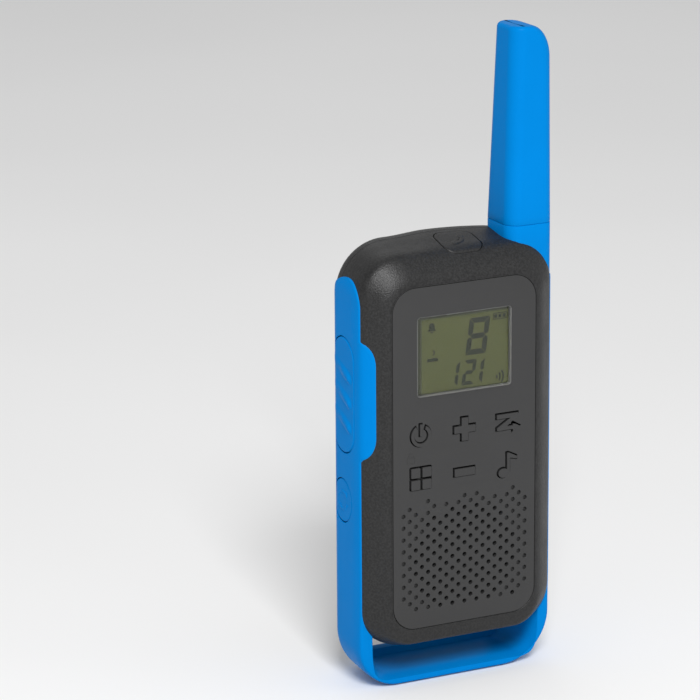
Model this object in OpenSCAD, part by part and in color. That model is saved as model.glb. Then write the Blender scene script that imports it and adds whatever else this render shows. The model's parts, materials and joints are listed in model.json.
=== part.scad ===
// Handheld two-way radio with a fixed blade antenna and a wrist loop under the casing.
// Frame: X to the right of the front face, Y from front to back, Z up.
// The origin is the middle of the foot face under the loop.

/* [Casing] */
// Width of the casing
body_w = 53.6; // [53:0.1:54.2]
// Depth of the casing without the belt clip
body_d = 27; // [26.8:0.1:27.4]
// Height of the casing's underside above the foot
body_bottom = 11.2; // [11:0.1:11.6]
// Height of the casing's top
body_top = 113.6; // [113.2:0.1:114]
// Thickness of the front and back walls
wall = 2.2; // [2:0.1:2.3]
// Thickness of the side walls under the frame's rails
side_wall = 3.4; // [3.2:0.1:3.6]
// Thickness of the outer frame's rails
rail_t = 1.6; // [1.4:0.1:1.7]

/* [Antenna] */
// Height of the antenna's tip
antenna_top = 163.5; // [160:0.5:168]
// Height of the joint between antenna and frame
antenna_joint = 114.2; // [114:0.1:114.6]

/* [Front panel] */
// Width of the front panel
panel_w = 39.6; // [39.4:0.1:39.8]
// Height of the panel's lower edge
panel_bottom = 16.1; // [15.9:0.1:16.3]
// Height of the panel's upper edge
panel_top = 103.2; // [103:0.1:103.4]
// Thickness of the panel
panel_t = 1.6; // [1.5:0.1:1.7]
// Width of the display opening
display_w = 26.2; // [25:0.1:27]
// Height of the display opening
display_h = 20.2; // [19:0.1:20.6]
// Height of the display's centre
display_z = 85.6; // [85.4:0.1:86]

/* [Controls] */
// Sideways distance of the outer keys from the middle
key_x = 12.1; // [11.8:0.1:12.3]
// Height of the upper row of keys
key_upper_z = 65.9; // [65.6:0.1:66.2]
// Height of the lower row of keys
key_lower_z = 54.9; // [54.8:0.1:55.2]
// Travel of each front key
key_travel = 0.6; // [0.4:0.1:0.6]
// Travel of the push-to-talk bar
ptt_travel = 1; // [0.8:0.1:1]
// Diameter of the speaker holes
grille_d = 1.25; // [1:0.05:1.35]

/* [Battery] */
// Diameter of one cell
cell_d = 10.4; // [10:0.1:10.5]
// Length of one cell
cell_l = 44; // [43:0.5:44.5]

/* [Hidden] */

$fn = 48;
fine = 32;
e = 0.01;
gap = 0.15;

charcoal = [0.16, 0.16, 0.17];
panel_grey = [0.27, 0.27, 0.28];
frame_blue = [0.02, 0.45, 0.85];

front_y = -body_d / 2;
back_y = body_d / 2;
half_w = body_w / 2;
split_y = 1;

// Sections of the casing from front to back: depth, half width, underside, top, lower corner
// radius and upper corner radius.
sections = [
    [front_y, half_w - 6.6, body_bottom + 1.9, body_top - 10.1, 6.8, 6.8],
    [front_y + 0.9, half_w - 4.7, body_bottom + 0.9, body_top - 7.9, 8, 8],
    [front_y + 2.3, half_w - 2.9, body_bottom + 0.3, body_top - 5.7, 9, 9.4],
    [front_y + 4.6, half_w - 0.6, body_bottom, body_top - 3.4, 9.8, 10.6],
    [front_y + 8.5, half_w, body_bottom, body_top - 1.9, 10, 11],
    [-1, half_w, body_bottom, body_top - 0.9, 10, 11.6],
    [3, half_w, body_bottom, body_top - 0.4, 10, 12.4],
    [6, half_w - 1.3, body_bottom + 0.8, body_top - 1.4, 9.5, 13],
    [10.2, half_w - 4.3, body_bottom + 2, body_top - 3.9, 8.8, 13],
    [12.4, half_w - 7.4, body_bottom + 3.2, body_top - 6.4, 7.5, 12],
    [back_y, half_w - 11.3, body_bottom + 5, body_top - 9.4, 6, 9]
];

// Rails of the outer frame, as a band on each side of the casing.
rail_front = -8.9;
rail_back = 6.4;
rail_tip_z = 104.9;
rail_proud = 0.3;

// Wrist loop under the casing.
loop_floor = 2.6;
loop_back = 9.6;
loop_lip_y = 6.9;
loop_lip_h = 1.9;
foot_w = 27;
foot_d = 16.4;
foot_h = 0.7;

// Antenna section at the joint and at the tip: left, right, front, back.
antenna_low = [14.6, 27.04, -9.3, 4.6];
antenna_high = [16, 26.7, -8.9, 2.7];
antenna_root_z = 97;
tip_r = 7;
antenna_axis = [21, -2.4];

// Push-to-talk bar, pairing button and call button.
ptt_y = -1.1;
ptt_z = 75.2;
ptt_w = 11;
ptt_l = 29.5;
ptt_proud = 0.9;
pair_y = -0.2;
pair_z = 47.9;
pair_w = 9.8;
pair_h = 11.2;
pair_travel = 0.6;
stem_y = -2.4;
call_x = 2.4;
call_w = 10.6;
call_front = -9.8;
call_back = -0.6;
call_under = 106;
call_stem_y = -2.8;
call_switch_top = 103;
call_travel = 0.6;

// Speaker grille: a staggered field of holes.
grille_dx = 1.7;
grille_dz = 1.53;
grille_z = 24.3;
grille_columns = 21;
grille_top_row = [14, 15, 14, 13, 16, 15, 12, 15, 14, 15, 16, 15, 16, 15, 14, 15, 14, 15, 16, 15, 14];
speaker_z = 33;
mic_x = 13.6;
mic_z = 21.24;
speaker_r = 14;

// Boards.
display_board_y = -9.4;
display_board_t = 0.8;
main_board_y = -5.8;
main_board_t = 1;
board_w = 43;
board_bottom = 18;
board_top = 98;
lug_x = 14.6;
lug_z = [71.25, 100.05];

// Battery compartment and door.
bay_w = 33.4;
bay_bottom = 16.8;
bay_top = 62.4;
bay_floor_y = 1.3;
bay_wall = 1.2;
door_w = 37;
door_bottom = 14.9;
door_top = 64.3;
door_t = 1.45;

// Belt clip.
clip_w = 15;
clip_t = 1.8;
clip_top = 104;
clip_bottom = 66;
clip_pin_z = 96;
clip_pin_y = 16.4;
clip_pin_r = 1;
clip_back = 20.4;

// Charging port and its rubber cover, on the right side.
port_z = 52;
port_y = -2.4;
port_w = 10;
port_h = 22;

// Casing screws, from the rear housing into bosses of the front housing.
screw_x = 19.2;
screw_z = [66.6, 96];

// A thin slab in the XZ plane, with its own radii for the lower and upper corners.
module rounded_slab(y, half, bottom, top, r_low, r_high) {
    for (side = [-1, 1]) {
        translate([side * (half - r_low), y, bottom + r_low]) rotate([90, 0, 0])
            cylinder(r = r_low, h = e, $fn = fine);
        translate([side * (half - r_high), y, top - r_high]) rotate([90, 0, 0])
            cylinder(r = r_high, h = e, $fn = fine);
    }
}

// The casing's outer form, drawn in by `side` at the sides and ends and by `face` at front and back.
module casing(side = 0, face = 0) {
    hull() for (s = sections)
        rounded_slab(s[0] * (1 - face / back_y), s[1] - side, s[2] + side, s[3] - side,
            max(s[4] - side, 1), max(s[5] - side, 1));
}

// The casing's outline seen from above, grown by `grow`.
module plan_outline(grow = 0) {
    offset(delta = grow) hull() for (s = sections, side = [-1, 1])
        translate([side * s[1], s[0]]) circle(r = e);
}

// Everything between two depths.
module depth_slice(y0, y1) {
    translate([-60, y0, -10]) cube([120, y1 - y0, 200]);
}

module rounded_rect(w, h, r) {
    hull() for (x = [-w / 2 + r, w / 2 - r], y = [-h / 2 + r, h / 2 - r])
        translate([x, y]) circle(r = r, $fn = fine);
}

// Draws a flat shape in the XZ plane, from y0 back to y1.
module front_plate(y0, y1) {
    translate([0, y1, 0]) rotate([90, 0, 0]) linear_extrude(y1 - y0) children();
}

// Draws a flat shape given as (Y, Z) and extends it along X from x0 to x1.
module side_plate(x0, x1) {
    translate([x0, 0, 0]) rotate([90, 0, 90]) linear_extrude(x1 - x0) children();
}

module panel_outline(grow = 0) {
    translate([0, (panel_bottom + panel_top) / 2])
        rounded_rect(panel_w + 2 * grow, panel_top - panel_bottom + 2 * grow, 6.2 + grow);
}

// ---- Icons of the keys, drawn in their own 6 mm square ----

module icon_power() {
    difference() {
        circle(d = 5.6);
        circle(d = 3.8);
        translate([0, 2.4]) square([1.9, 2.2], center = true);
    }
    translate([-0.45, -0.3]) square([0.9, 3.3]);
}

module icon_plus() {
    square([6, 1.9], center = true);
    square([1.9, 6.1], center = true);
}

module icon_minus() {
    square([6, 1.9], center = true);
}

module icon_menu() {
    for (x = [-1.55, 1.55], y = [-1.55, 1.55])
        translate([x, y]) square(2.7, center = true);
}

module icon_scan() {
    polygon([[-3.2, 2.7], [2.9, 2.7], [2.9, 1.7], [0.2, -0.9], [2, -0.9], [2, -1.9], [-0.6, -1.9],
        [-2.1, -2.7], [-3.1, -2.7], [-3.1, -1.9], [0.7, 1.5], [-3.2, 1.5]]);
}

module icon_note() {
    translate([-1.2, -2]) circle(r = 1.35);
    translate([-0.6, -2]) square([0.9, 5.2]);
    polygon([[-0.6, 3.2], [0.3, 3.2], [2.6, 1.8], [2.6, 0.6], [0.3, 1.8]]);
}

module icon(name) {
    if (name == "power") icon_power();
    if (name == "plus") icon_plus();
    if (name == "minus") icon_minus();
    if (name == "menu") icon_menu();
    if (name == "scan") icon_scan();
    if (name == "note") icon_note();
}

// Name, sideways place and height of each key.
keys = [["power", -key_x, key_upper_z], ["plus", 0, key_upper_z], ["scan", key_x, key_upper_z],
    ["menu", -key_x, key_lower_z], ["minus", 0, key_lower_z], ["note", key_x, key_lower_z]];
key_recess = 0.45;
key_pad_y = front_y + panel_t + 0.1;

module key(index) {
    k = keys[index];
    translate([k[1], 0, k[2]]) {
        front_plate(front_y + key_recess, key_pad_y + e) offset(delta = -gap) icon(k[0]);
        front_plate(key_pad_y, key_pad_y + 0.7) rounded_rect(8.6, 8.4, 1.5);
        translate([0, key_pad_y + 0.7 - e, 0]) rotate([-90, 0, 0]) cylinder(r = 1.2, h = 0.55);
    }
}

// ---- Speaker grille ----

// A hole goes right through over the cone and over the microphone.
function pierced(x, z) = norm([x, z - speaker_z]) < 14.3 || norm([x - mic_x, z - mic_z]) < 0.5;

module grille_holes() {
    for (i = [0 : grille_columns - 1])
        for (j = [-2 : grille_top_row[i]])
            let (x = (i - (grille_columns - 1) / 2) * grille_dx, z = grille_z + j * grille_dz,
                corner = (i == 0 || i == grille_columns - 1) && j < 0)
                if ((i + j) % 2 == 0 && !corner)
                    translate([x, front_y - 0.1, z]) rotate([-90, 0, 0])
                        cylinder(d = grille_d, h = pierced(x, z) ? panel_t + 0.2 : 0.7, $fn = 20);
}

// ---- Casing shells ----

// The space that the frame's rails take out of the casing's sides.
module rail_space(grow = 0) {
    difference() {
        union() {
            side_plate(-40, -10) rail_profile(grow);
            side_plate(10, 40) right_rail_profile(grow);
        }
        casing(rail_t + grow, 0.4);
    }
}

module rail_profile(grow = 0) {
    offset(delta = grow) {
        hull() {
            translate([rail_front + 6.4, rail_tip_z - 6.4]) circle(r = 6.4, $fn = fine);
            translate([rail_back - 4.8, rail_tip_z - 7.6]) circle(r = 4.8, $fn = fine);
            translate([rail_front, -5]) square([rail_back - rail_front, 1]);
        }
        polygon([[rail_front + 1, 59], [rail_front, 60], [rail_front - 2.2, 62.6], [rail_front - 2.6, 64.6],
            [rail_front - 2.6, 85], [rail_front - 2.2, 87.2], [rail_front, 89.8],
            [rail_front + 1, 90.8]]);
    }
}

module right_rail_profile(grow = 0) {
    offset(delta = grow) translate([rail_front, -5])
        square([rail_back - rail_front, rail_tip_z + 4]);
}

// The antenna's foot, which the casing makes room for.
module antenna_root(grow = 0, top = antenna_joint) {
    hull() {
        antenna_section(antenna_low, antenna_root_z, grow);
        antenna_section(antenna_low, top, grow);
    }
}

module antenna_section(s, z, grow = 0) {
    r = 3.2;
    for (x = [s[0] + r, s[1] - r], y = [s[2] + r, s[3] - r])
        translate([x, y, z]) cylinder(r = r + grow, h = e, $fn = fine);
}

module call_prism(grow = 0) {
    translate([call_x, (call_front + call_back) / 2, 100]) linear_extrude(20)
        offset(delta = grow) rounded_rect(call_w, call_back - call_front, 2.4);
}

module cavity() {
    casing(side_wall, wall + 0.2);
}

module screw_places() {
    for (x = [-screw_x, screw_x], z = screw_z)
        translate([x, 0, z]) rotate([-90, 0, 0]) children();
}

module front_housing() {
    color(charcoal) difference() {
        union() {
            difference() {
                intersection() {
                    casing();
                    depth_slice(-20, split_y);
                }
                cavity();
            }
            intersection() {
                casing(1, 1);
                screw_places() translate([0, 0, -12]) cylinder(r = 2.1, h = 12.8, $fn = fine);
            }
        }
        screw_places() translate([0, 0, -4]) cylinder(r = 1.02, h = 10, $fn = 24);
        rail_space();
        antenna_root(0.05);
        front_plate(front_y - 1, front_y + panel_t + 0.02) panel_outline(0.1);
        front_plate(-14, -8) translate([0, 60]) rounded_rect(35.7, 83.3, 4.15);
        call_prism(gap);
        side_openings();
    }
}

// Openings in the side walls: two on the left for the buttons' stems, one on the right for the port.
module side_openings() {
    translate([-40, stem_y - 2.1, ptt_z - 8]) cube([20, 4.2, 16]);
    translate([-40, stem_y - 1.9, pair_z - 1.9]) cube([20, 3.8, 3.8]);
    translate([20, port_y - 2.1, port_z - 8.6]) cube([20, 4.2, 17.2]);
}

module bay_space() {
    translate([-bay_w / 2, bay_floor_y, bay_bottom]) cube([bay_w, 30, bay_top - bay_bottom]);
}

// Outline of the battery door from behind.
module door_outline(grow = 0) {
    translate([0, (door_bottom + door_top) / 2])
        rounded_rect(door_w + 2 * grow, door_top - door_bottom + 2 * grow, 5 + grow);
}

// The outer skin of the casing's back that the door replaces, of thickness `t`.
module door_skin(grow, t) {
    difference() {
        front_plate(6, 20) door_outline(grow);
        casing(t, t);
    }
}

module rear_housing() {
    color(charcoal) difference() {
        union() {
            difference() {
                intersection() {
                    casing();
                    depth_slice(split_y + 0.02, 20);
                }
                cavity();
            }
            intersection() {
                casing(0.6, 0.6);
                union() {
                    translate([-bay_w / 2 - bay_wall, bay_floor_y - bay_wall, bay_bottom - bay_wall])
                        cube([bay_w + 2 * bay_wall, 20, bay_top - bay_bottom + 2 * bay_wall]);
                    screw_places() translate([0, 0, 1.1]) cylinder(r = 2.6, h = 12, $fn = fine);
                }
            }
        }
        rail_space();
        antenna_root(0.05);
        bay_space();
        door_skin(gap, door_t + 0.05);
        screw_places() {
            cylinder(r = 1.1, h = 30, $fn = 24);
            translate([0, 0, 9.6]) cylinder(r = 2.1, h = 20, $fn = 24);
        }
    }
}

// ---- Outer frame, with the wrist loop and the antenna's foot ----

// Outline of the loop from the front, with corners of radius `r`.
module loop_outer(r) {
    hull() {
        for (x = [-half_w - 0.3 + r, half_w + 0.3 - r]) translate([x, r + 0.4]) circle(r = r, $fn = 64);
        translate([-half_w - 0.3, 20]) square([body_w + 0.6, 6]);
        for (x = [-12, 12]) translate([x, foot_h + 3]) circle(r = 3, $fn = fine);
    }
}

module loop_inner(half, floor_z) {
    translate([0, floor_z + 8]) rounded_rect(2 * half, 16, 4.5);
}

// The hand space of the loop: flared at the front, narrower at the back.
module loop_space() {
    hull() {
        front_plate(rail_front - 1, rail_front) loop_inner(23.6, loop_floor - 0.6);
        front_plate(rail_front + 3.6, rail_front + 3.7) loop_inner(21.9, loop_floor);
    }
    hull() {
        front_plate(rail_front + 3.6, rail_front + 3.7) loop_inner(21.9, loop_floor);
        front_plate(loop_lip_y, loop_lip_y + e) loop_inner(21.2, loop_floor);
    }
    // The floor steps up to a lip along the back edge.
    hull() {
        front_plate(loop_lip_y - e, loop_lip_y) loop_inner(21.2, loop_floor + loop_lip_h);
        front_plate(loop_back + 1, loop_back + 2) loop_inner(19.4, loop_floor + loop_lip_h);
    }
}

module loop() {
    difference() {
        intersection() {
            hull() {
                front_plate(rail_front, rail_front + 1) offset(delta = -0.8) loop_outer(11);
                front_plate(rail_front + 0.8, rail_front + 4) loop_outer(11);
                front_plate(loop_back - 2, loop_back - 1) loop_outer(13.8);
                front_plate(loop_back - 1, loop_back) offset(delta = -0.8) loop_outer(13.8);
            }
            linear_extrude(40) plan_outline(rail_proud - 0.03);
        }
        loop_space();
        casing();
        translate([-40, -20, 22]) cube([80, 40, 20]);
    }
    // Foot.
    hull() {
        linear_extrude(0.3) rounded_rect(foot_w, foot_d, 3);
        translate([0, 0, foot_h]) linear_extrude(0.5) rounded_rect(foot_w + 2, foot_d + 1, 4);
    }
}

module rails() {
    difference() {
        intersection() {
            casing(-rail_proud);
            union() {
                side_plate(-40, -10) rail_profile(-0.05);
                side_plate(10, 40) right_rail_profile(-0.05);
            }
        }
        casing(rail_t - 0.05, 0.35);
        translate([-40, -20, -10]) cube([80, 40, 20]);
    }
}

module side_frame() {
    color(frame_blue) difference() {
        union() {
            rails();
            loop();
            difference() {
                antenna_root(0);
                casing(2.8, 1.8);
            }
        }
        side_plate(-40, -20) ptt_outline(gap);
        side_plate(-40, -20) pair_outline(gap);
        translate([half_w - rail_t - 0.3, 0, 0]) side_plate(0, 10) port_outline(gap);
        // Socket that the antenna's stub drops into.
        translate([antenna_axis[0], antenna_axis[1], antenna_joint - 6])
            cylinder(r = 2.65, h = 10, $fn = fine);
        translate([antenna_axis[0], antenna_axis[1], antenna_root_z])
            cylinder(r = 1.12, h = 20, $fn = fine);
    }
}

// ---- Side buttons ----

module ptt_outline(grow = 0) {
    offset(delta = grow) translate([ptt_y, ptt_z]) rounded_rect(ptt_w, ptt_l, ptt_w / 2 - 0.01);
}

module pair_outline(grow = 0) {
    offset(delta = grow) translate([pair_y, pair_z]) scale([pair_w / pair_h, 1]) circle(d = pair_h);
}

module port_outline(grow = 0) {
    offset(delta = grow) translate([port_y, port_z]) rounded_rect(port_w, port_h, 3.5);
}

module ptt_button() {
    color(frame_blue) {
        difference() {
            intersection() {
                casing(-ptt_proud);
                side_plate(-40, -half_w + 0.5) ptt_outline();
            }
            // Three grip flutes.
            for (z = [-6.9, -0.6, 5.7])
                translate([-half_w - 2.3, -20, ptt_z + z]) rotate([-90, 0, 0])
                    cylinder(r = 1.9, h = 40, $fn = fine);
        }
        // Stem that presses the switch.
        translate([-half_w + 0.5, stem_y - 1.8, ptt_z - 7.4]) cube([2.2, 3.6, 14.8]);
        translate([-half_w + 0.5, stem_y - 1, ptt_z - 1.6]) cube([3.3, 2, 3.2]);
    }
}

module pairing_button() {
    color(frame_blue) {
        intersection() {
            casing(-rail_proud);
            side_plate(-40, -half_w + 0.9) pair_outline();
        }
        translate([-half_w + 0.8, stem_y, pair_z]) rotate([0, 90, 0]) cylinder(r = 1.6, h = 3.2);
    }
}

module side_switch(z, stem_x) {
    translate([stem_x + 0.8, stem_y - 2.3, z - 3]) cube([2.4, 4.6, 6]);
    translate([stem_x, stem_y, z]) rotate([0, 90, 0]) cylinder(r = 1.3, h = 0.9);
}

module ptt_switch() {
    color("dimgray") side_switch(ptt_z, -half_w + 0.5 + 3.3 + ptt_travel + 0.1);
}

module pairing_switch() {
    color("dimgray") side_switch(pair_z, -half_w + 0.8 + 3.2 + pair_travel + 0.1);
}

module call_button() {
    color(charcoal) {
        intersection() {
            casing(0, 0);
            call_prism();
            translate([-20, -20, call_under]) cube([40, 40, 20]);
        }
        translate([call_x, call_stem_y, call_switch_top + call_travel + 0.1])
            cylinder(r = 1.5, h = call_under - call_switch_top);
    }
}

module call_switch() {
    y = main_board_y + main_board_t;
    color("dimgray") {
        translate([call_x, call_stem_y, call_switch_top - 1]) cylinder(r = 1.2, h = 1);
        translate([call_x - 3, y, board_top - 2.5]) cube([6, 4, call_switch_top - board_top + 1.6]);
    }
}

// ---- Front panel and display ----

module board_lugs() {
    for (x = [-lug_x, lug_x], z = lug_z)
        translate([x, front_y + 1, z]) rotate([-90, 0, 0]) translate([0, 0, -1]) children();
}

module front_panel() {
    color(panel_grey) difference() {
        union() {
            front_plate(front_y, front_y + panel_t) panel_outline();
            // Posts that carry the display board.
            board_lugs() cylinder(r = 1.1, h = display_board_y - front_y);
        }
        board_lugs() translate([0, 0, 2.1]) cylinder(r = 0.5, h = 4);
        front_plate(front_y - 1, 0) translate([0, display_z])
            rounded_rect(display_w, display_h, 0.7);
        for (k = keys)
            translate([k[1], 0, k[2]]) front_plate(front_y - 1, 0) icon(k[0]);
        grille_holes();
    }
}

module display_window() {
    color([0.75, 0.8, 0.75, 0.4]) front_plate(front_y + 0.5, front_y + panel_t - 0.1)
        translate([0, display_z]) rounded_rect(display_w - 0.1, display_h - 0.1, 0.65);
}

lcd_y = front_y + panel_t + 0.1;

module lcd_module() {
    color([0.42, 0.45, 0.26]) translate([-15.2, lcd_y, display_z - 12]) cube([30.4, 1.2, 24]);
}

// Light guide behind the glass, with a rim around it.
module lcd_holder() {
    color("white") difference() {
        translate([-16.4, lcd_y, display_z - 13.2])
            cube([32.8, display_board_y - lcd_y, 26.4]);
        translate([-15.3, lcd_y - 1, display_z - 12.1]) cube([30.6, 2.3, 24.2]);
    }
}

module display_board() {
    color("darkgreen") difference() {
        translate([-16.9, display_board_y, 47.4]) cube([33.8, display_board_t, 54.2]);
        board_lugs() cylinder(r = 0.6, h = 8);
    }
}

module key_domes() {
    color("silver") for (k = keys)
        translate([k[1], display_board_y, k[2]]) rotate([90, 0, 0])
            cylinder(r1 = 2.6, r2 = 1.4, h = 0.5);
}

module board_connector() {
    color("black") translate([-8, display_board_y + display_board_t, 92])
        cube([16, main_board_y - display_board_y - display_board_t, 3]);
}

// ---- Main board ----

module main_board() {
    color("darkgreen") difference() {
        translate([0, main_board_y + main_board_t, (board_bottom + board_top) / 2])
            rotate([90, 0, 0]) linear_extrude(main_board_t)
                rounded_rect(board_w, board_top - board_bottom, 4);
        screw_places() translate([0, 0, -12]) cylinder(r = 2.4, h = 12);
    }
}

module rf_shield() {
    color("silver") difference() {
        translate([-13, main_board_y + main_board_t, 69]) cube([24, 2.4, 25.4]);
        translate([-12.8, main_board_y + main_board_t - 1, 69.2]) cube([23.6, 3.2, 25]);
    }
}

module board_components() {
    y = main_board_y + main_board_t;
    color([0.1, 0.1, 0.1]) {
        translate([-10, y, 82]) cube([8, 1.1, 8]);
        translate([2, y, 84]) cube([5, 1, 5]);
        translate([-9, y, 72]) cube([3.2, 0.8, 5]);
        translate([0, y, 73]) cube([6, 1.2, 4]);
        translate([-19, y, 80]) cube([3.6, 2.2, 9]);
        translate([13, y, 72]) cube([4, 1.4, 3]);
    }
}

// ---- Sound ----

module speaker_frame() {
    color([0.2, 0.2, 0.22]) translate([0, main_board_y - 0.2, speaker_z]) rotate([90, 0, 0]) {
        difference() {
            union() {
                cylinder(r = 7.2, h = 2.6);
                translate([0, 0, 2.5]) cylinder(r1 = 8, r2 = speaker_r, h = 1.6);
                translate([0, 0, 4.1 - e]) cylinder(r = speaker_r, h = 0.6);
            }
            translate([0, 0, 2.9]) cylinder(r1 = 7, r2 = speaker_r - 1, h = 2);
        }
    }
}

module speaker_cone() {
    color([0.1, 0.1, 0.1]) translate([0, main_board_y - 0.2, speaker_z]) rotate([90, 0, 0])
        rotate_extrude() polygon([[0, 4.2], [3, 4], [5.4, 3.3], [6.2, 3.3], [12.5, 4.85],
            [12.5, 5], [6, 3.6], [3, 4.5], [0, 4.8]]);
}

module speaker_gasket() {
    color([0.12, 0.12, 0.12]) translate([0, main_board_y - 0.2 - 4.7, speaker_z])
        rotate([90, 0, 0]) difference() {
            cylinder(r = speaker_r, h = 1.05);
            translate([0, 0, -1]) cylinder(r = speaker_r - 1.3, h = 4);
        }
}

module microphone() {
    color("silver") translate([mic_x, main_board_y - 0.02, mic_z]) rotate([90, 0, 0])
        cylinder(r = 1.5, h = 1.8);
}

module microphone_boot() {
    color("black") translate([mic_x, main_board_y - 0.1, mic_z]) rotate([90, 0, 0]) difference() {
        cylinder(r = 2.1, h = main_board_y - 0.15 - front_y - panel_t);
        translate([0, 0, -1]) cylinder(r = 1.52, h = 2.8);
        cylinder(r = 0.5, h = 20);
    }
}

// ---- Antenna ----

module antenna_sheath() {
    color(frame_blue) {
        difference() {
            hull() {
                antenna_section(antenna_low, antenna_joint + 0.05);
                // The outer edge of the tip is rounded in a quarter circle.
                for (a = [0, 30, 60])
                    antenna_section(antenna_high + [0, -tip_r * (1 - cos(a)), 0, 0],
                        antenna_top - tip_r + tip_r * sin(a));
                antenna_section(antenna_high + [0.7, -4.2, 0.7, -0.7], antenna_top - e);
            }
            translate([antenna_axis[0], antenna_axis[1], antenna_joint - 1])
                cylinder(r = 2.4, h = antenna_top - antenna_joint - 7, $fn = fine);
        }
        translate([antenna_axis[0], antenna_axis[1], antenna_joint - 5.6]) difference() {
            cylinder(r = 2.6, h = 5.7, $fn = fine);
            translate([0, 0, -1]) cylinder(r = 1.2, h = 8, $fn = fine);
        }
    }
}

coil_r = 1.75;
coil_wire = 0.3;
coil_turns = 10;
coil_steps = 10;
coil_bottom = antenna_joint + 2;
coil_height = antenna_top - 10 - coil_bottom;
coil_sides = 6;

function coil_point(k) = let (t = k / coil_steps)
    [coil_r * cos(360 * t), coil_r * sin(360 * t), coil_height * t / coil_turns];

function coil_ring(k) = let (t = k / coil_steps, c = coil_point(k),
    out = [cos(360 * t), sin(360 * t), 0])
    [for (s = [0 : coil_sides - 1]) let (a = 360 * s / coil_sides)
        c + coil_wire * (cos(a) * out + sin(a) * [0, 0, 1])];

module antenna_coil() {
    rings = coil_turns * coil_steps;
    points = [for (k = [0 : rings]) each coil_ring(k)];
    sides = [for (k = [0 : rings - 1], s = [0 : coil_sides - 1])
        let (a = k * coil_sides + s, b = k * coil_sides + (s + 1) % coil_sides)
        each [[a, b, b + coil_sides], [a, b + coil_sides, a + coil_sides]]];
    ends = [[for (s = [coil_sides - 1 : -1 : 0]) s],
        [for (s = [0 : coil_sides - 1]) rings * coil_sides + s]];
    color("goldenrod") translate([antenna_axis[0], antenna_axis[1], coil_bottom])
        polyhedron(points = points, faces = concat(sides, ends));
}

module antenna_contact() {
    color("goldenrod") {
        translate([antenna_axis[0], antenna_axis[1], antenna_root_z + 5]) cylinder(r = 1, h = 14);
        translate([antenna_axis[0], antenna_axis[1], antenna_root_z + 4]) cylinder(r = 1.9, h = 1.4);
    }
}

// ---- Seal and screws ----

module housing_seal() {
    color([0.08, 0.08, 0.08]) difference() {
        intersection() {
            casing(side_wall + 0.05, wall + 0.25);
            depth_slice(split_y - 0.9, split_y + 0.9);
        }
        casing(side_wall + 0.9, wall + 0.25);
        antenna_root(0.3);
    }
}

module housing_screws() {
    color("silver") screw_places() {
        translate([0, 0, -3.4]) cylinder(r = 1, h = 13.2);
        difference() {
            translate([0, 0, 9.7]) cylinder(r = 1.9, h = 1.3);
            translate([0, 0, 10.7]) cube([2.6, 0.6, 1.2], center = true);
            translate([0, 0, 10.7]) cube([0.6, 2.6, 1.2], center = true);
        }
    }
}

module board_screws() {
    head_y = display_board_y + display_board_t - front_y;
    color("silver") board_lugs() {
        translate([0, 0, head_y]) cylinder(r = 1.1, h = 0.8);
        translate([0, 0, head_y - 2.6]) cylinder(r = 0.48, h = 3);
    }
}

// ---- Battery ----

cell_y = bay_floor_y + 0.3 + cell_d / 2;
cell_z = bay_bottom + 0.8;

module battery_cells() {
    color([0.15, 0.5, 0.3]) for (i = [-1 : 1])
        translate([i * (cell_d + 0.1), cell_y, cell_z]) {
            cylinder(d = cell_d - 0.4, h = cell_l - 1);
            translate([0, 0, cell_l - 1 - e]) cylinder(r = 1.8, h = 1);
        }
}

module battery_wrap() {
    color([0.1, 0.3, 0.65]) translate([0, cell_y, cell_z + 1]) linear_extrude(cell_l - 4)
        difference() {
            rounded_rect(3 * cell_d + 0.4, cell_d, cell_d / 2 - 0.05);
            for (i = [-1 : 1]) translate([i * (cell_d + 0.1), 0]) circle(d = cell_d - 0.3);
        }
}

module battery_contacts() {
    color("silver") {
        for (i = [-1, 1]) {
            translate([i * (cell_d + 0.1) - 3, cell_y - 3, bay_top - 0.5]) cube([6, 6, 0.4]);
            translate([i * (cell_d + 0.1) - 3, cell_y - 3, bay_bottom + 0.1]) cube([6, 6, 0.4]);
        }
        translate([-3, cell_y - 3, bay_top - 0.5]) cube([6, 6, 0.4]);
        translate([-3, cell_y - 3, bay_bottom + 0.1]) cube([6, 6, 0.4]);
    }
}

module battery_door() {
    color(charcoal) difference() {
        intersection() {
            casing();
            door_skin(0, door_t);
        }
        // Hollow for the thumb at the lower end.
        translate([0, back_y + 5.2, door_bottom + 8]) sphere(r = 6);
    }
}

// ---- Belt clip ----

module clip_bracket() {
    color(charcoal) difference() {
        union() {
            for (x = [-1, 1]) hull() {
                translate([x * 5.2 - 1, clip_pin_y, clip_pin_z]) rotate([0, 90, 0])
                    cylinder(r = 2.1, h = 2, $fn = fine);
                translate([x * 5.2 - 1, back_y + 0.02, clip_pin_z - 3.4]) cube([2, 0.4, 6.8]);
            }
            translate([-6.8, back_y + 0.02, clip_pin_z - 4]) cube([13.6, 0.8, 8]);
        }
        translate([-10, clip_pin_y, clip_pin_z]) rotate([0, 90, 0])
            cylinder(r = clip_pin_r, h = 20);
    }
}

module clip_pin() {
    color("silver") translate([-6.6, clip_pin_y, clip_pin_z]) rotate([0, 90, 0])
        cylinder(r = clip_pin_r - 0.02, h = 13.2);
}

module clip_spring() {
    color("silver") translate([0, clip_pin_y, clip_pin_z]) {
        for (x = [-1.4, 0, 1.4]) translate([x - 0.35, 0, 0]) rotate([0, 90, 0]) difference() {
            cylinder(r = 1.55, h = 0.7);
            translate([0, 0, -1]) cylinder(r = clip_pin_r + 0.1, h = 3);
        }
    }
}

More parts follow.
